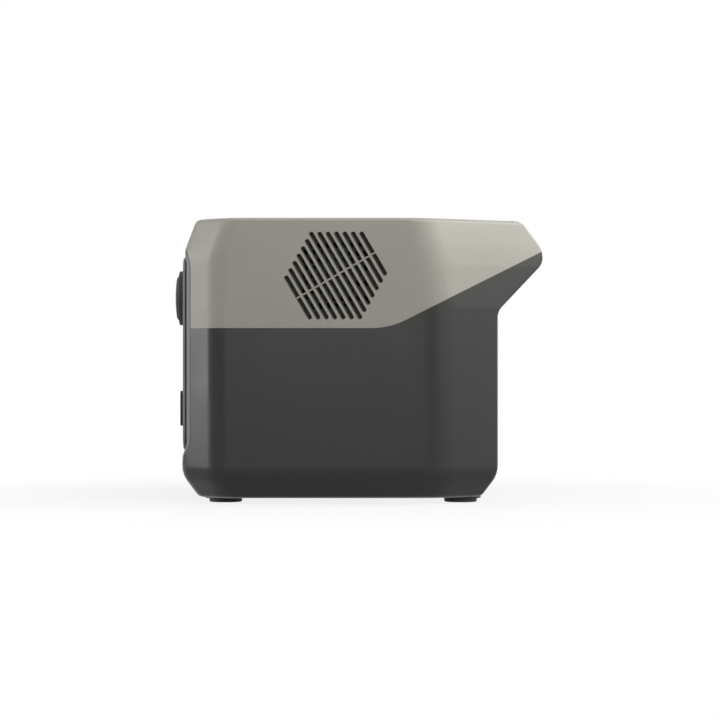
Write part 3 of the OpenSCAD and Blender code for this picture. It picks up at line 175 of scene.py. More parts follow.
def ray_to(point):
    """Direction from the camera through an image point."""
    x, y = point
    local = Vector((
        x - PHOTO_W / 2 + camera_data.shift_x * LONG_SIDE,
        PHOTO_H / 2 - y + camera_data.shift_y * LONG_SIDE,
        -LONG_SIDE * CAMERA_LENS / SENSOR_WIDTH,
    ))
    return (CAMERA_FRAME.to_3x3() @ local).normalized()


def seen_at(place):
    """Image point at which a place in the row frame shows."""
    local = CAMERA_FRAME.inverted() @ place
    reach = LONG_SIDE * CAMERA_LENS / SENSOR_WIDTH / -local.z
    return (
        PHOTO_W / 2 - camera_data.shift_x * LONG_SIDE + local.x * reach,
        PHOTO_H / 2 + camera_data.shift_y * LONG_SIDE - local.y * reach,
    )


# ---------------------------------------------------------------- materials


class Finish:
    """A procedural material with its pattern in Object coordinates, so in metres."""

    def __init__(self, name, slot, colour, roughness, metallic=0.0):
        self.slot = slot
        self.material = bpy.data.materials.new(name)
        self.material.use_nodes = True
        self.tree = self.material.node_tree
        self.shader = self.tree.nodes["Principled BSDF"]
        self.shader.inputs["Base Color"].default_value = (*colour, 1)
        self.shader.inputs["Roughness"].default_value = roughness
        self.shader.inputs["Metallic"].default_value = metallic
        self.colour = colour
        self.roughness = roughness
        self.place = self.node("ShaderNodeTexCoord").outputs["Object"]
        self.bumps = None

    def node(self, kind, **values):
        new = self.tree.nodes.new(kind)
        for key, value in values.items():
            setattr(new, key, value)
        return new

    def link(self, out, into):
        self.tree.links.new(out, into)

    def split_place(self):
        """The X, Y and Z of the place on the object, as sockets."""
        split = self.node("ShaderNodeSeparateXYZ")
        self.link(self.place, split.inputs[0])
        return split.outputs["X"], split.outputs["Y"], split.outputs["Z"]

    def stretched(self, scale):
        mapping = self.node("ShaderNodeMapping")
        mapping.inputs["Scale"].default_value = scale
        self.link(self.place, mapping.inputs["Vector"])
        return mapping.outputs["Vector"]

    def noise(self, size, detail=2.0, scale=None):
        """Noise with lumps of about one size, in metres."""
        texture = self.node("ShaderNodeTexNoise")
        texture.inputs["Scale"].default_value = 1 / size
        texture.inputs["Detail"].default_value = detail
        self.link(self.stretched(scale) if scale else self.place, texture.inputs["Vector"])
        return texture.outputs["Fac"]

    def ranged(self, value, low, high, from_low=0.3, from_high=0.7):
        spread = self.node("ShaderNodeMapRange")
        spread.inputs["From Min"].default_value = from_low
        spread.inputs["From Max"].default_value = from_high
        spread.inputs["To Min"].default_value = low
        spread.inputs["To Max"].default_value = high
        self.link(value, spread.inputs["Value"])
        return spread.outputs["Result"]

    def shade(self, size, amount, detail=3.0, scale=None):
        """The colour varies by a share, in patches of a size."""
        return self.tint(self.ranged(self.noise(size, detail, scale), 1 - amount, 1 + amount))

    def sheen_spread(self, size, amount, scale=None):
        """The roughness varies by an amount, in patches of a size."""
        value = self.ranged(
            self.noise(size, 3.0, scale), self.roughness - amount, self.roughness + amount)
        self.link(value, self.shader.inputs["Roughness"])
        return self

    def bump(self, height, depth):
        """Adds a relief of a depth in metres over those added before."""
        node = self.node("ShaderNodeBump")
        node.inputs["Distance"].default_value = depth
        self.link(height, node.inputs["Height"])
        if self.bumps:
            self.link(self.bumps, node.inputs["Normal"])
        self.bumps = node.outputs["Normal"]
        self.link(self.bumps, self.shader.inputs["Normal"])
        return self

    def grain(self, size, depth, detail=2.0, scale=None):
        return self.bump(self.noise(size, detail, scale), depth)

    def maths(self, kind, first, second=None):
        """Result of one sum on sockets or numbers."""
        node = self.node("ShaderNodeMath", operation=kind)
        for value, into in zip((first, second), node.inputs):
            if hasattr(value, "node"):
                self.link(value, into)
            elif value is not None:
                into.default_value = value
        return node.outputs[0]

    def from_middle(self, value, middle):
        """Signed distance of a socket from a place on its axis."""
        return self.maths("SUBTRACT", value, middle)

    def length_of(self, first, second):
        """Distance that two offsets at right angles make."""
        squares = [self.maths("POWER", value, 2.0) for value in (first, second)]
        return self.maths("SQRT", self.maths("ADD", *squares))

    def darken_where(self, mask, shade):
        """Where a mask is 1 the colour is multiplied by a shade, a number or a socket."""
        lost = self.maths("MULTIPLY", mask, self.maths("SUBTRACT", 1.0, shade))
        return self.tint(self.maths("SUBTRACT", 1.0, lost))

    def tint(self, factor):
        """The colour is multiplied by a factor."""
        mix = self.node("ShaderNodeVectorMath", operation="SCALE")
        current = self.shader.inputs["Base Color"]
        if current.is_linked:
            self.link(current.links[0].from_socket, mix.inputs[0])
        else:
            mix.inputs[0].default_value = self.colour
        self.link(factor, mix.inputs["Scale"])
        self.link(mix.outputs["Vector"], current)
        return self

    def set(self, **sockets):
        for key, value in sockets.items():
            self.shader.inputs[key.replace("_", " ")].default_value = value
        return self


def moulded(name, slot, colour, roughness, grain=0.0006, depth=0.00002):
    """Injection-moulded plastic with an eroded grain and faint flow."""
    finish = Finish(name, slot, colour, roughness)
    finish.set(Specular_IOR_Level=0.2)
    finish.shade(0.05, 0.025).shade(0.0007, 0.03, 2.0)
    finish.sheen_spread(0.03, 0.03)
    finish.grain(grain, depth)
    finish.grain(0.012, 0.00002, 1.0)
    return finish


pale = moulded("pale_moulding", "pale_shell", (0.238, 0.229, 0.2), 0.42)
dark = moulded("dark_moulding", "dark_shell", (0.0235, 0.0228, 0.0218), 0.31)
bezel = moulded("bezel_moulding", "bezel", (0.135, 0.135, 0.132), 0.42, 0.0005, 0.00001)
outlet = moulded("outlet_moulding", "black_plastic", (0.028, 0.028, 0.028), 0.45, 0.0004, 0.00001)
panel = moulded("panel_moulding", "panel", (0.25, 0.246, 0.232), 0.4, 0.0004, 0.00001)
button = moulded("button_moulding", "button", (0.045, 0.045, 0.045), 0.45, 0.0004, 0.000008)
black = moulded("black_moulding", "black_plastic", (0.02, 0.02, 0.02), 0.5, 0.0005, 0.00001)
red = moulded("red_button", "reset_red", (0.42, 0.02, 0.012), 0.4, 0.0004, 0.000006)

cap_rubber = moulded("cap_rubber", "cap_rubber", (0.048, 0.047, 0.049), 0.6, 0.0004, 0.000015)
foot_rubber = moulded("foot_rubber", "foot_rubber", (0.05, 0.05, 0.05), 0.6, 0.0006, 0.00004)

window = Finish("window_gloss", "window", (0.010, 0.011, 0.013), 0.3)
window.set(Specular_IOR_Level=0.25)
window.shade(0.02, 0.03).sheen_spread(0.02, 0.02)

display = Finish("display_face", "display", (0.030, 0.034, 0.038), 0.3)
display.shade(0.01, 0.06).sheen_spread(0.01, 0.05)

board = Finish("board_mask", "board", (0.012, 0.075, 0.03), 0.35)
board.shade(0.004, 0.3, 5.0).grain(0.002, 0.00003, 4.0)

steel = Finish("bright_steel", "steel", (0.55, 0.55, 0.56), 0.28, 1.0)
steel.shade(0.001, 0.1, 2.0, (1, 1, 12)).sheen_spread(0.002, 0.06)
brass = Finish("contact_brass", "brass", (0.72, 0.52, 0.22), 0.25, 1.0)
brass.shade(0.002, 0.12).sheen_spread(0.003, 0.06)
cell = Finish("cell_wrap", "cell", (0.03, 0.09, 0.26), 0.35)
cell.shade(0.02, 0.08).grain(0.006, 0.00004)
core = Finish("core_ferrite", "core", (0.05, 0.05, 0.05), 0.6)
core.shade(0.002, 0.2).grain(0.0008, 0.00005)
copper = Finish("wound_copper", "copper", (0.42, 0.15, 0.05), 0.3, 1.0)
copper.shade(0.002, 0.2).grain(0.0012, 0.0002, 1.0, (1, 1, 6))
capacitor = Finish("capacitor_sleeve", "capacitor", (0.012, 0.02, 0.06), 0.35)
capacitor.shade(0.004, 0.1).grain(0.004, 0.00002)
sink = Finish("sink_aluminium", "sink", (0.62, 0.63, 0.64), 0.4, 1.0)
sink.shade(0.0008, 0.08, 2.0, (1, 14, 1)).sheen_spread(0.002, 0.08)
screen_mesh = moulded("screen_mesh", "black_plastic", (0.034, 0.032, 0.026), 0.7, 0.0008, 0.0002)
floor_paint = Finish("floor_paint", None, (0.4, 0.4, 0.4), 0.7)
floor_paint.shade(0.3, 0.01)

# Painted shade: the walls of the side slots are darkened by their depth in the wall
SIDE_FACE = 0.1345
VENT_MIDDLE = (-0.01645, 0.1572)
VENT_REACH = 0.0385
VENT_HALF_HEIGHT = 0.0322
SLOT_MOUTH = 0.00025
SLOT_END = 0.003
WALL_INSIDE = 0.0033
MOUTH_SHADE = 0.48
END_SHADE = 0.3

# Painted shade: a dark line runs round the bezel's rim, where the gap against the shells is in shadow
BEZEL_MIDDLE = 0.1039
BEZEL_HALF = (0.117, 0.0769)
BEZEL_RADIUS = 0.0185
GAP_LINE = 0.0007
PAINTED_GAP_SHADE = 0.2

# The panel's face is pale, over a dark side
PANEL_PALE_END = -0.1212
PANEL_SIDE_SHADE = 0.09


def paint_shade_in_slots(finish):
    """Paints shade on the slots' walls, darker from the mouth inwards, within the vent's outline."""
    x, y, z = finish.split_place()
    depth = finish.maths("SUBTRACT", SIDE_FACE, finish.maths("ABSOLUTE", x))
    off_y = finish.from_middle(y, VENT_MIDDLE[0])
    off_z = finish.from_middle(z, VENT_MIDDLE[1])
    inside = finish.maths(
        "MULTIPLY", finish.maths("LESS_THAN", finish.length_of(off_y, off_z), VENT_REACH),
        finish.maths("LESS_THAN", finish.maths("ABSOLUTE", off_z), VENT_HALF_HEIGHT))
    in_wall = finish.maths(
        "MULTIPLY", finish.maths("GREATER_THAN", depth, SLOT_MOUTH),
        finish.maths("LESS_THAN", depth, WALL_INSIDE))
    shade = finish.ranged(depth, MOUTH_SHADE, END_SHADE, SLOT_MOUTH, SLOT_END)
    finish.darken_where(finish.maths("MULTIPLY", inside, in_wall), shade)


def paint_gap_shade_on_rim(finish):
    """Paints a thin line of shade along the rounded outline, for the shadow in the gap."""
    x, _, z = finish.split_place()
    past_core = []
    for value, half in zip((x, finish.from_middle(z, BEZEL_MIDDLE)), BEZEL_HALF):
        off = finish.maths("SUBTRACT", finish.maths("ABSOLUTE", value), half - BEZEL_RADIUS)
        past_core.append(finish.maths("MAXIMUM", off, 0.0))
    line = finish.maths("GREATER_THAN", finish.length_of(*past_core), BEZEL_RADIUS - GAP_LINE)
    finish.darken_where(line, PAINTED_GAP_SHADE)


def darken_side(finish):
    """Darkens what lies behind the pale face."""
    _, y, _ = finish.split_place()
    finish.darken_where(finish.maths("GREATER_THAN", y, PANEL_PALE_END), PANEL_SIDE_SHADE)


paint_shade_in_slots(pale)
paint_gap_shade_on_rim(bezel)
darken_side(panel)

NODE_FINISHES = {
    pale: ["upper_shell"],
    dark: ["lower_shell"],
    bezel: ["front_bezel"],
    panel: ["front_panel"],
    outlet: ["ac_outlets"],
    window: ["display_window"],
    display: ["display_module"],
    button: ["power_button", "dc_button", "ac_button", "key_switches"],
    red: ["reset_button"],
    board: ["io_board", "bms_board", "inverter_board", "charge_board"],
    black: [
        "car_socket", "car_socket_nut", "dc_jacks", "usb_a_tongues", "usb_c_tongues",
        "ac_inlet", "dc_input", "reset_breaker", "right_fan_frame", "right_fan_rotor",
        "left_fan_frame", "left_fan_rotor", "battery_tray", "deck", "power_transistors",
    ],
    screen_mesh: ["dust_screens"],
    cap_rubber: ["car_socket_cap"],
    foot_rubber: ["rubber_feet"],
    steel: [
        "cap_hinge_pin", "usb_a_shells", "usb_c_shells", "ac_inlet_pins", "case_screws",
        "fan_screws", "end_plates",
    ],
    brass: ["car_socket_contact", "dc_jack_pins", "ac_contacts", "dc_input_pins", "bus_bars"],
    cell: ["battery_cells"],
    core: ["transformer"],
    copper: ["inductors"],
    capacitor: ["capacitors"],
    sink: ["heat_sinks"],
}

for finish, names in NODE_FINISHES.items():
    for name in names:
        node = frame["nodes"][name]
        node.data.materials.clear()
        node.data.materials.append(finish.material)
        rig.slot(node, finish.slot)

# ---------------------------------------------------------------- finished skins

MERGE = 0.000002
BEVEL_TURN = math.radians(35)
SKIN_TURN = math.radians(28)
FITTING_TURN = math.radians(35)


def add_piece(name, mesh, finish, body="housing"):
    """Shows a mesh, already in its place, as a piece that rides on a body."""
    piece = bpy.data.objects.new(name, mesh)
    bpy.context.scene.collection.objects.link(piece)
    mesh.materials.clear()
    mesh.materials.append(finish.material)
    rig.slot(piece, finish.slot)
    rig.ride(piece, body)
    return piece


def skin_of(node_name, finish, body, edge):
    """A smooth skin with broken edges, over a copy of a CAD node that it then stands for."""
    work = bmesh.new()
    work.from_mesh(frame["nodes"][node_name].data)
    bmesh.ops.remove_doubles(work, verts=work.verts, dist=MERGE)
    mesh = bpy.data.meshes.new(node_name + "_skin")
    for face in work.faces:
        face.smooth = True
    work.to_mesh(mesh)
    work.free()
    if "custom_normal" in mesh.attributes:
        mesh.attributes.remove(mesh.attributes["custom_normal"])
    piece = add_piece(node_name + "_skin", mesh, finish, body)
    if edge:
        bevel = piece.modifiers.new("broken_edges", "BEVEL")
        bevel.width = edge
        bevel.segments = 2
        bevel.limit_method = "ANGLE"
        bevel.angle_limit = BEVEL_TURN
        bevel.miter_outer = "MITER_ARC"
    mesh.set_sharp_from_angle(angle=SKIN_TURN)
    even = piece.modifiers.new("even_flats", "WEIGHTED_NORMAL")
    even.keep_sharp = True
    even.weight = 80
    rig.replaces(piece, node_name)
    return piece


SKINS = [
    ("upper_shell", pale, "housing", 0.0),
    ("lower_shell", dark, "housing", 0.0),
    ("front_bezel", bezel, "housing", 0.0),
    ("front_panel", panel, "housing", 0.0007),
    ("display_window", window, "housing", 0.0003),
    ("ac_outlets", outlet, "housing", 0.0004),
    ("car_socket", black, "housing", 0.0),
    ("car_socket_cap", cap_rubber, "car_cap", 0.0004),
    ("rubber_feet", foot_rubber, "housing", 0.0004),
    ("power_button", button, "power_button", 0.0003),
    ("dc_button", button, "dc_button", 0.0003),
    ("ac_button", button, "ac_button", 0.0003),
    ("reset_button", red, "reset_button", 0.0003),
    ("ac_inlet", black, "housing", 0.0003),
    ("dc_input", black, "housing", 0.0003),
    ("reset_breaker", black, "housing", 0.0002),
    ("right_fan_rotor", black, "right_rotor", 0.0),
    ("left_fan_rotor", black, "left_rotor", 0.0),
]
skins = {name: skin_of(name, finish, body, edge) for name, finish, body, edge in SKINS}

# ---------------------------------------------------------------- small fittings


def surface_of(*names):
    """The finished surface of some nodes, as placed, to set pieces on."""
    graph = bpy.context.evaluated_depsgraph_get()
    places, faces = [], []
    for name in names:
        shown = skins.get(name) or frame["nodes"][name]
        mesh = shown.evaluated_get(graph).to_mesh()
        first = len(places)
        places.extend(shown.matrix_world @ v.co for v in mesh.vertices)
        faces.extend([first + i for i in face.vertices] for face in mesh.polygons)
    return BVHTree.FromPolygons(places, faces)


def place_at(point, surface):
    """Where the ray through an image point meets a surface, or the place on it nearest the ray."""
    direction = ray_to(point)
    place, normal, _, _ = surface.ray_cast(CAMERA_PLACE, direction)
    if place is not None:
        return place, normal
    reach = CAMERA_PLACE.length
    for _ in range(8):
        place, normal, _, _ = surface.find_nearest(CAMERA_PLACE + direction * reach)
        reach = (place - CAMERA_PLACE).dot(direction)
    return place, normal


def finished(work, name, finish, body="housing"):
    """Closes, turns outward and shows a bmesh."""
    bmesh.ops.remove_doubles(work, verts=work.verts, dist=MERGE)
    bmesh.ops.recalc_face_normals(work, faces=work.faces)
    mesh = bpy.data.meshes.new(name)
    for face in work.faces:
        face.smooth = True
    work.to_mesh(mesh)
    work.free()
    mesh.set_sharp_from_angle(angle=FITTING_TURN)
    return add_piece(name, mesh, finish, body)


def rounded_outline(width, height, radius, steps=6):
    """Corner points of a rounded rectangle about the origin, anticlockwise."""
    points = []
    for quarter in range(4):
        sign_x = (1, -1, -1, 1)[quarter]
        sign_y = (1, 1, -1, -1)[quarter]
        middle = (sign_x * (width / 2 - radius), sign_y * (height / 2 - radius))
        for step in range(steps + 1):
            angle = math.radians(90 * (quarter + step / steps))
            points.append((
                middle[0] + radius * math.cos(angle), middle[1] + radius * math.sin(angle)))
    return points


def raise_faces(work, faces, matrix, depth):
    """Pulls flat faces up along a frame's +Z, with walls and a floor."""
    made = bmesh.ops.extrude_face_region(work, geom=faces)["geom"]
    top = [part for part in made if isinstance(part, bmesh.types.BMVert)]
    bmesh.ops.translate(work, vec=matrix.to_3x3() @ Vector((0, 0, depth)), verts=top)


def corners_of(work, outline, matrix):
    return [work.verts.new(matrix @ Vector((x, y, 0))) for x, y in outline]


def prism(work, outline, matrix, depth):
    """A closed prism of an outline, from its plane along its +Z by a depth."""
    raise_faces(work, [work.faces.new(corners_of(work, outline, matrix))], matrix, depth)


def ring_prism(work, outer, inner, matrix, depth):
    """A closed frame between two outlines with as many points each."""
    edges = []
    for outline in (outer, inner):
        corners = corners_of(work, outline, matrix)
        edges += [work.edges.new(pair) for pair in zip(corners, corners[1:] + corners[:1])]
    raise_faces(work, bmesh.ops.bridge_loops(work, edges=edges)["faces"], matrix, depth)


# Foam seals between the fans and the side walls keep the air in its path
SEAL_FROM = 0.1277
SEAL_TO = 0.1313
SEAL_OUTER = (0.0775, 0.0635, 0.006)
SEAL_INNER = (0.0606, 0.0606, 0.006)
foam = Finish("seal_foam", "black_plastic", (0.03, 0.029, 0.025), 0.9)
foam.shade(0.0015, 0.3, 4.0).grain(0.0008, 0.0002, 4.0)
for side_name, side in (("right", 1), ("left", -1)):
    seal = bmesh.new()
    across = Matrix((
        (0, 0, side, side * SEAL_FROM),
        (1, 0, 0, VENT_MIDDLE[0]),
        (0, side, 0, VENT_MIDDLE[1]),
        (0, 0, 0, 1),
    ))
    ring_prism(
        seal, rounded_outline(*SEAL_OUTER), rounded_outline(*SEAL_INNER), across,
        SEAL_TO - SEAL_FROM)
    finished(seal, side_name + "_fan_seal", foam)

# An insulating sheet stands on the deck between the two boards
SHEET_BOX = ((0.0336, -0.060, 0.0953), (0.0341, 0.050, 0.1880))
paper = Finish("insulating_paper", "black_plastic", (0.02, 0.02, 0.021), 0.55)
paper.shade(0.003, 0.15, 3.0).grain(0.0015, 0.00004, 3.0)
sheet = bmesh.new()
low, high = (Vector(corner) for corner in SHEET_BOX)
bmesh.ops.create_cube(sheet, size=1)
bmesh.ops.scale(sheet, vec=high - low, verts=sheet.verts)
bmesh.ops.translate(sheet, vec=(low + high) / 2, verts=sheet.verts)
finished(sheet, "insulating_sheet", paper)

# Marks on the front are printed films, laid on the surface behind them
FILM_GAP = 0.00001
FILM = 0.00004
FRONT_START = -0.3


def on_front(x, z, surface):
    """A frame on the front at a place, with x to the right, y up and z towards the user."""
    place, _, _, _ = surface.ray_cast(Vector((x, FRONT_START, z)), Vector((0, 1, 0)))
    return Matrix((
        (1, 0, 0, place.x),
        (0, 0, -1, place.y - FILM_GAP),
        (0, 1, 0, place.z),
        (0, 0, 0, 1),
    ))


def arc_outline(radius, width, start, end, steps=28):
    """An open ring's outline, between two angles in degrees."""
    angles = [math.radians(start + (end - start) * i / steps) for i in range(steps + 1)]
    outer = [((radius + width) * math.cos(a), (radius + width) * math.sin(a)) for a in angles]
    inner = [(radius * math.cos(a), radius * math.sin(a)) for a in reversed(angles)]
    return outer + inner


def disc_outline(radius, steps=24):
    angles = [math.radians(360 * i / steps) for i in range(steps)]
    return [(radius * math.cos(a), radius * math.sin(a)) for a in angles]


def box_outline(x, y, width, height):
    return [(x, y), (x + width, y), (x + width, y + height), (x, y + height)]


print_white = Finish("print_white", "button", (0.42, 0.42, 0.41), 0.5)
print_white.shade(0.0005, 0.05)
POWER_PLACE = (0.015, 0.1428)
POWER_RING = 0.0021
POWER_LINE = 0.00045
POWER_RING_TURN = (125, 415)
POWER_STROKE = (0.0008, 0.0024)
mark = bmesh.new()
at_button = on_front(*POWER_PLACE, surface_of("power_button"))
prism(mark, arc_outline(POWER_RING, POWER_LINE, *POWER_RING_TURN), at_button, FILM)
stroke = box_outline(-POWER_LINE / 2, POWER_STROKE[0], POWER_LINE, POWER_STROKE[1])
prism(mark, stroke, at_button, FILM)
finished(mark, "power_mark", print_white, "power_button")

lamp_lens = Finish("indicator_lens", "display", (0.30, 0.42, 0.34), 0.2)
lamp_lens.shade(0.0004, 0.05)
panel_front = surface_of("front_panel")
SWITCH_ROW = 0.10415
SWITCHES = {"dc": 0.027, "ac": 0.071}
LENS_RISE = 0.0085
LENS_RADIUS = 0.0009
for switch_name, switch_x in SWITCHES.items():
    lens = bmesh.new()
    at_lens = on_front(switch_x, SWITCH_ROW + LENS_RISE, panel_front)
    prism(lens, disc_outline(LENS_RADIUS), at_lens, 3 * FILM)
    finished(lens, switch_name + "_indicator", lamp_lens)

# The display shows a charge of 100 and a bar of five steps
SEGMENTS = {"1": "bc", "0": "abcdef"}
DIGIT_H = 0.017
DIGIT_W = 0.009
DIGIT_LINE = 0.0016
DIGIT_STEP = 0.0125
DIGITS_AT = (-0.088, 0.1395)
STEPS_AT = (-0.088, 0.1305)
STEP_PITCH = 0.0075
STEP_BOX = (0.0062, 0.0035)
SMALL_AT = (-0.032, 0.1475)
SMALL_PITCH = 0.014
SMALL_SHARE = 0.55
lcd = Finish("display_segments", "display", (0.30, 0.36, 0.38), 0.35)
lcd.shade(0.002, 0.04)


def segment_outline(kind):
    """A digit's stroke, from the digit's lower left corner."""
    gap = DIGIT_LINE / 6
    half = DIGIT_H / 2
    if kind in "ad":
        rise = DIGIT_H - DIGIT_LINE if kind == "a" else 0
        return box_outline(DIGIT_LINE + gap, rise, DIGIT_W - 2 * (DIGIT_LINE + gap), DIGIT_LINE)
    across = DIGIT_W - DIGIT_LINE if kind in "bc" else 0
    rise = half + gap if kind in "bf" else gap
    return box_outline(across, rise, DIGIT_LINE, half - 2 * gap)


segments = bmesh.new()
window_front = surface_of("display_window")
for place_in_row, digit in enumerate("100"):
    at_digit = on_front(DIGITS_AT[0] + place_in_row * DIGIT_STEP, DIGITS_AT[1], window_front)
    for kind in SEGMENTS[digit]:
        prism(segments, segment_outline(kind), at_digit, FILM)
for step in range(5):
    at_step = on_front(STEPS_AT[0] + step * STEP_PITCH, STEPS_AT[1], window_front)
    prism(segments, box_outline(0, 0, *STEP_BOX), at_step, FILM)
for row in range(2):
    at_row = on_front(SMALL_AT[0], SMALL_AT[1] - row * SMALL_PITCH, window_front)
    for kind in SEGMENTS["0"]:
        small = [(x * SMALL_SHARE, y * SMALL_SHARE) for x, y in segment_outline(kind)]
        prism(segments, small, at_row, FILM)
finished(segments, "display_segments", lcd)

# Painted shade: a small dark disc laid on the top edge of the handle, where the edge shows dark.
SHADE_SPOT_RADIUS = 0.0007
shade_spot_surface = surface_of("upper_shell")
shade_spot_place, shade_spot_normal = place_at(POINTS["handle_fleck"], shade_spot_surface)
shade_spot = bmesh.new()
turned = shade_spot_normal.to_track_quat("Z", "Y").to_matrix().to_4x4()
at_shade_spot = Matrix.Translation(shade_spot_place + shade_spot_normal * FILM_GAP) @ turned
prism(shade_spot, disc_outline(SHADE_SPOT_RADIUS), at_shade_spot, FILM)
# The spot of painted shade takes the seals' dark finish.
finished(shade_spot, "handle_fleck", foam)

# ---------------------------------------------------------------- studio

WHITE = (1, 1, 1, 1)
WORLD_LIGHT = 0.0
FLOOR_HALF = 6
FLOOR_NEAR = 0.1
FLOOR_FAR = 0.42
SHADOW_FADE = 0.85
bpy.context.scene.view_settings.view_transform = "Standard"

floor_mesh = bmesh.new()
bmesh.ops.create_grid(floor_mesh, x_segments=1, y_segments=1, size=FLOOR_HALF)
floor_data = bpy.data.meshes.new("studio_floor")
floor_mesh.to_mesh(floor_data)
floor_mesh.free()
floor_data.materials.append(floor_paint.material)
floor = bpy.data.objects.new("studio_floor", floor_data)
bpy.context.scene.collection.objects.link(floor)
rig.stage(floor)


def either(tree, first, second):
    """The larger of two sockets."""
    node = tree.nodes.new("ShaderNodeMath")
    node.operation = "MAXIMUM"
    tree.links.new(first, node.inputs[0])
    tree.links.new(second, node.inputs[1])
    return node.outputs[0]


def ray_kinds(tree):
    """Whether a ray comes straight from the camera, and whether it is mirrored or let through."""
    path = tree.nodes.new("ShaderNodeLightPath").outputs
    return path["Is Camera Ray"], either(tree, path["Is Glossy Ray"], path["Is Transmission Ray"])


def fade_floor_to_white():
    """The floor keeps the shadow near the object and turns plain white further out."""
    finish = floor_paint
    tree = finish.tree
    length = finish.node("ShaderNodeVectorMath", operation="LENGTH")
    finish.link(finish.place, length.inputs[0])
    far = finish.node("ShaderNodeMapRange", interpolation_type="SMOOTHSTEP")
    far.inputs["From Min"].default_value = FLOOR_NEAR
    far.inputs["From Max"].default_value = FLOOR_FAR
    far.inputs["To Min"].default_value = SHADOW_FADE
    finish.link(length.outputs["Value"], far.inputs["Value"])
    straight, bounced = ray_kinds(tree)
    amount = either(tree, finish.maths("MULTIPLY", straight, far.outputs["Result"]), bounced)
    white = finish.node("ShaderNodeEmission")
    white.inputs["Color"].default_value = WHITE
    mix = finish.node("ShaderNodeMixShader")
    finish.link(amount, mix.inputs["Fac"])
    finish.link(finish.shader.outputs[0], mix.inputs[1])
    finish.link(white.outputs[0], mix.inputs[2])
    finish.link(mix.outputs[0], tree.nodes["Material Output"].inputs["Surface"])


fade_floor_to_white()

world = bpy.data.worlds.new("studio_world")
world.use_nodes = True
bpy.context.scene.world = world
sky = world.node_tree.nodes["Background"]
sky.inputs["Color"].default_value = WHITE
sky_pick = world.node_tree.nodes.new("ShaderNodeMapRange")
sky_pick.inputs["To Min"].default_value = WORLD_LIGHT
sky_pick.inputs["To Max"].default_value = 1.0
seen_sky = either(world.node_tree, *ray_kinds(world.node_tree))
world.node_tree.links.new(seen_sky, sky_pick.inputs["Value"])
world.node_tree.links.new(sky_pick.outputs["Result"], sky.inputs["Strength"])


def soft_box(name, place, aim, width, height, watts):
    """An area lamp at a place that faces another."""
    data = bpy.data.lights.new(name, "AREA")
    data.shape = "RECTANGLE"
    data.size = width
    data.size_y = height
    data.energy = watts
    lamp = bpy.data.objects.new(name, data)
    lamp.location = place
    lamp.rotation_euler = (Vector(aim) - Vector(place)).to_track_quat("-Z", "Y").to_euler()
    bpy.context.scene.collection.objects.link(lamp)
    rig.stage(lamp)


MIDDLE = (0.0, 0.0, 0.1)
soft_box("front_box", (0.15, -1.6, 0.4), MIDDLE, 0.5, 1.2, 22.5)
soft_box("rear_box", (0.8, 1.5, 1.0), MIDDLE, 2.4, 2.0, 35)
soft_box("side_box", (0.42, 0.0, 0.62), MIDDLE, 0.5, 0.3, 1.7)
soft_box("rear_top_box", (0.0, 1.2, 1.1), MIDDLE, 1.2, 0.9, 27)
soft_box("camera_box", (2.3, 0.0, 0.4), MIDDLE, 0.5, 0.3, 5)

# ---------------------------------------------------------------- measures


def write_json(path, data):
    with open(path, "w") as out:
        json.dump(data, out, indent=1)


visual_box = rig.bounds()
write_json("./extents.json", {
    "cad": [list(corner) for corner in cad_box],
    "visual": [list(corner) for corner in visual_box],
})


def shown_points(name, keep=lambda place: True):
    """Image points of a piece's finished vertices that pass a test."""
    shown = skins.get(name) or frame["nodes"][name]
    graph = bpy.context.evaluated_depsgraph_get()
    mesh = shown.evaluated_get(graph).to_mesh()
    places = [shown.matrix_world @ v.co for v in mesh.vertices]
    return [seen_at(p) for p in places if keep(p)]


# Limits in metres that pick out the vertices of a feature, apart from where its point is
SIDE = 0.128
FLAT_SIDE = 0.1335
LEAN = (0.07, 0.06, 0.125)
FEET_SIDE = 0.05
FOOT_SOLE = 0.001
PANEL_FACE = -0.1231
SEAM_LEVEL_END = -0.007
REAR_WALL_TOP = 0.113
NEAR_COUNT = 40
upper = shown_points("upper_shell")
lower = shown_points("lower_shell")
seam_level = shown_points("lower_shell", lambda p: p.x > SIDE and p.y < SEAM_LEVEL_END)
seam_lean = shown_points("lower_shell", lambda p: all(a > b for a, b in zip(p, LEAN)))
vent = shown_points("upper_shell", lambda p: p.x > FLAT_SIDE and math.hypot(
    p.y - VENT_MIDDLE[0], p.z - VENT_MIDDLE[1]) < VENT_REACH)
rear_wall = shown_points("lower_shell", lambda p: p.z < REAR_WALL_TOP)
cap = shown_points("car_socket_cap")
outlets = shown_points("ac_outlets", lambda p: p.y < PANEL_FACE)
feet = shown_points("rubber_feet", lambda p: p.x > FEET_SIDE)
soles = shown_points("rubber_feet", lambda p: p.x > FEET_SIDE and p.z < FOOT_SOLE)


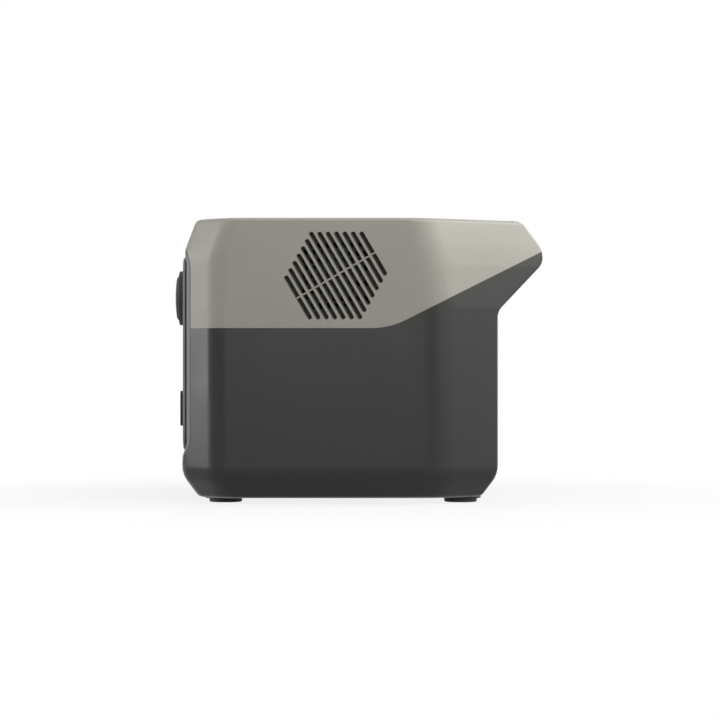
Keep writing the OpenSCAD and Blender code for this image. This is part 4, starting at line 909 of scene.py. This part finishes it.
def nearest(points, target, axis):
    """The smallest offset, along one image axis, among the points nearest a target on the other.

    It takes the best of many vertices, so it flatters. For the straight seam, which has few
    vertices, it isn't a true measure: report.md gives one that was made with rays.
    """
    other = 1 - axis
    near = sorted(points, key=lambda p: abs(p[other] - target[other]))[:NEAR_COUNT]
    pick = min(near, key=lambda p: abs(p[axis] - target[axis]))
    return pick[axis] - target[axis]


shows = {
    "left_edge": (min(p[0] for p in cap) - POINTS["left_edge"][0], None),
    "right_edge": (max(p[0] for p in upper + lower) - POINTS["right_edge"][0], None),
    "top_edge": (None, min(p[1] for p in upper) - POINTS["top_edge"][1]),
    "bottom_edge": (None, max(p[1] for p in feet) - POINTS["bottom_edge"][1]),
    "cap_top": (None, min(p[1] for p in cap) - POINTS["cap_top"][1]),
    "cap_bottom": (None, max(p[1] for p in cap) - POINTS["cap_bottom"][1]),
    "outlet_top": (min(p[0] for p in outlets) - POINTS["outlet_top"][0],
                   min(p[1] for p in outlets) - POINTS["outlet_top"][1]),
    "outlet_bottom": (min(p[0] for p in outlets) - POINTS["outlet_bottom"][0],
                      max(p[1] for p in outlets) - POINTS["outlet_bottom"][1]),
    "seam_front": (None, min(p[1] for p in seam_level) - POINTS["seam_front"][1]),
    "seam_rear": (None, nearest(seam_lean, POINTS["seam_rear"], 1)),
    "vent_left": (min(p[0] for p in vent) - POINTS["vent_left"][0], None),
    "vent_top": (None, min(p[1] for p in vent) - POINTS["vent_top"][1]),
    "vent_bottom": (None, max(p[1] for p in vent) - POINTS["vent_bottom"][1]),
    "rear_wall": (max(p[0] for p in rear_wall) - POINTS["rear_wall"][0], None),
    "front_foot": (min(p[0] for p in soles) - POINTS["front_foot"][0], None),
    "rear_foot": (max(p[0] for p in soles) - POINTS["rear_foot"][0], None),
    "handle_fleck": [a - b for a, b in zip(seen_at(shade_spot_place), POINTS["handle_fleck"])],
}
write_json("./points.json", {
    name: {
        "point": list(POINTS[name]),
        "off_x": None if off[0] is None else round(off[0], 2),
        "off_y": None if off[1] is None else round(off[1], 2),
    }
    for name, off in shows.items()
})
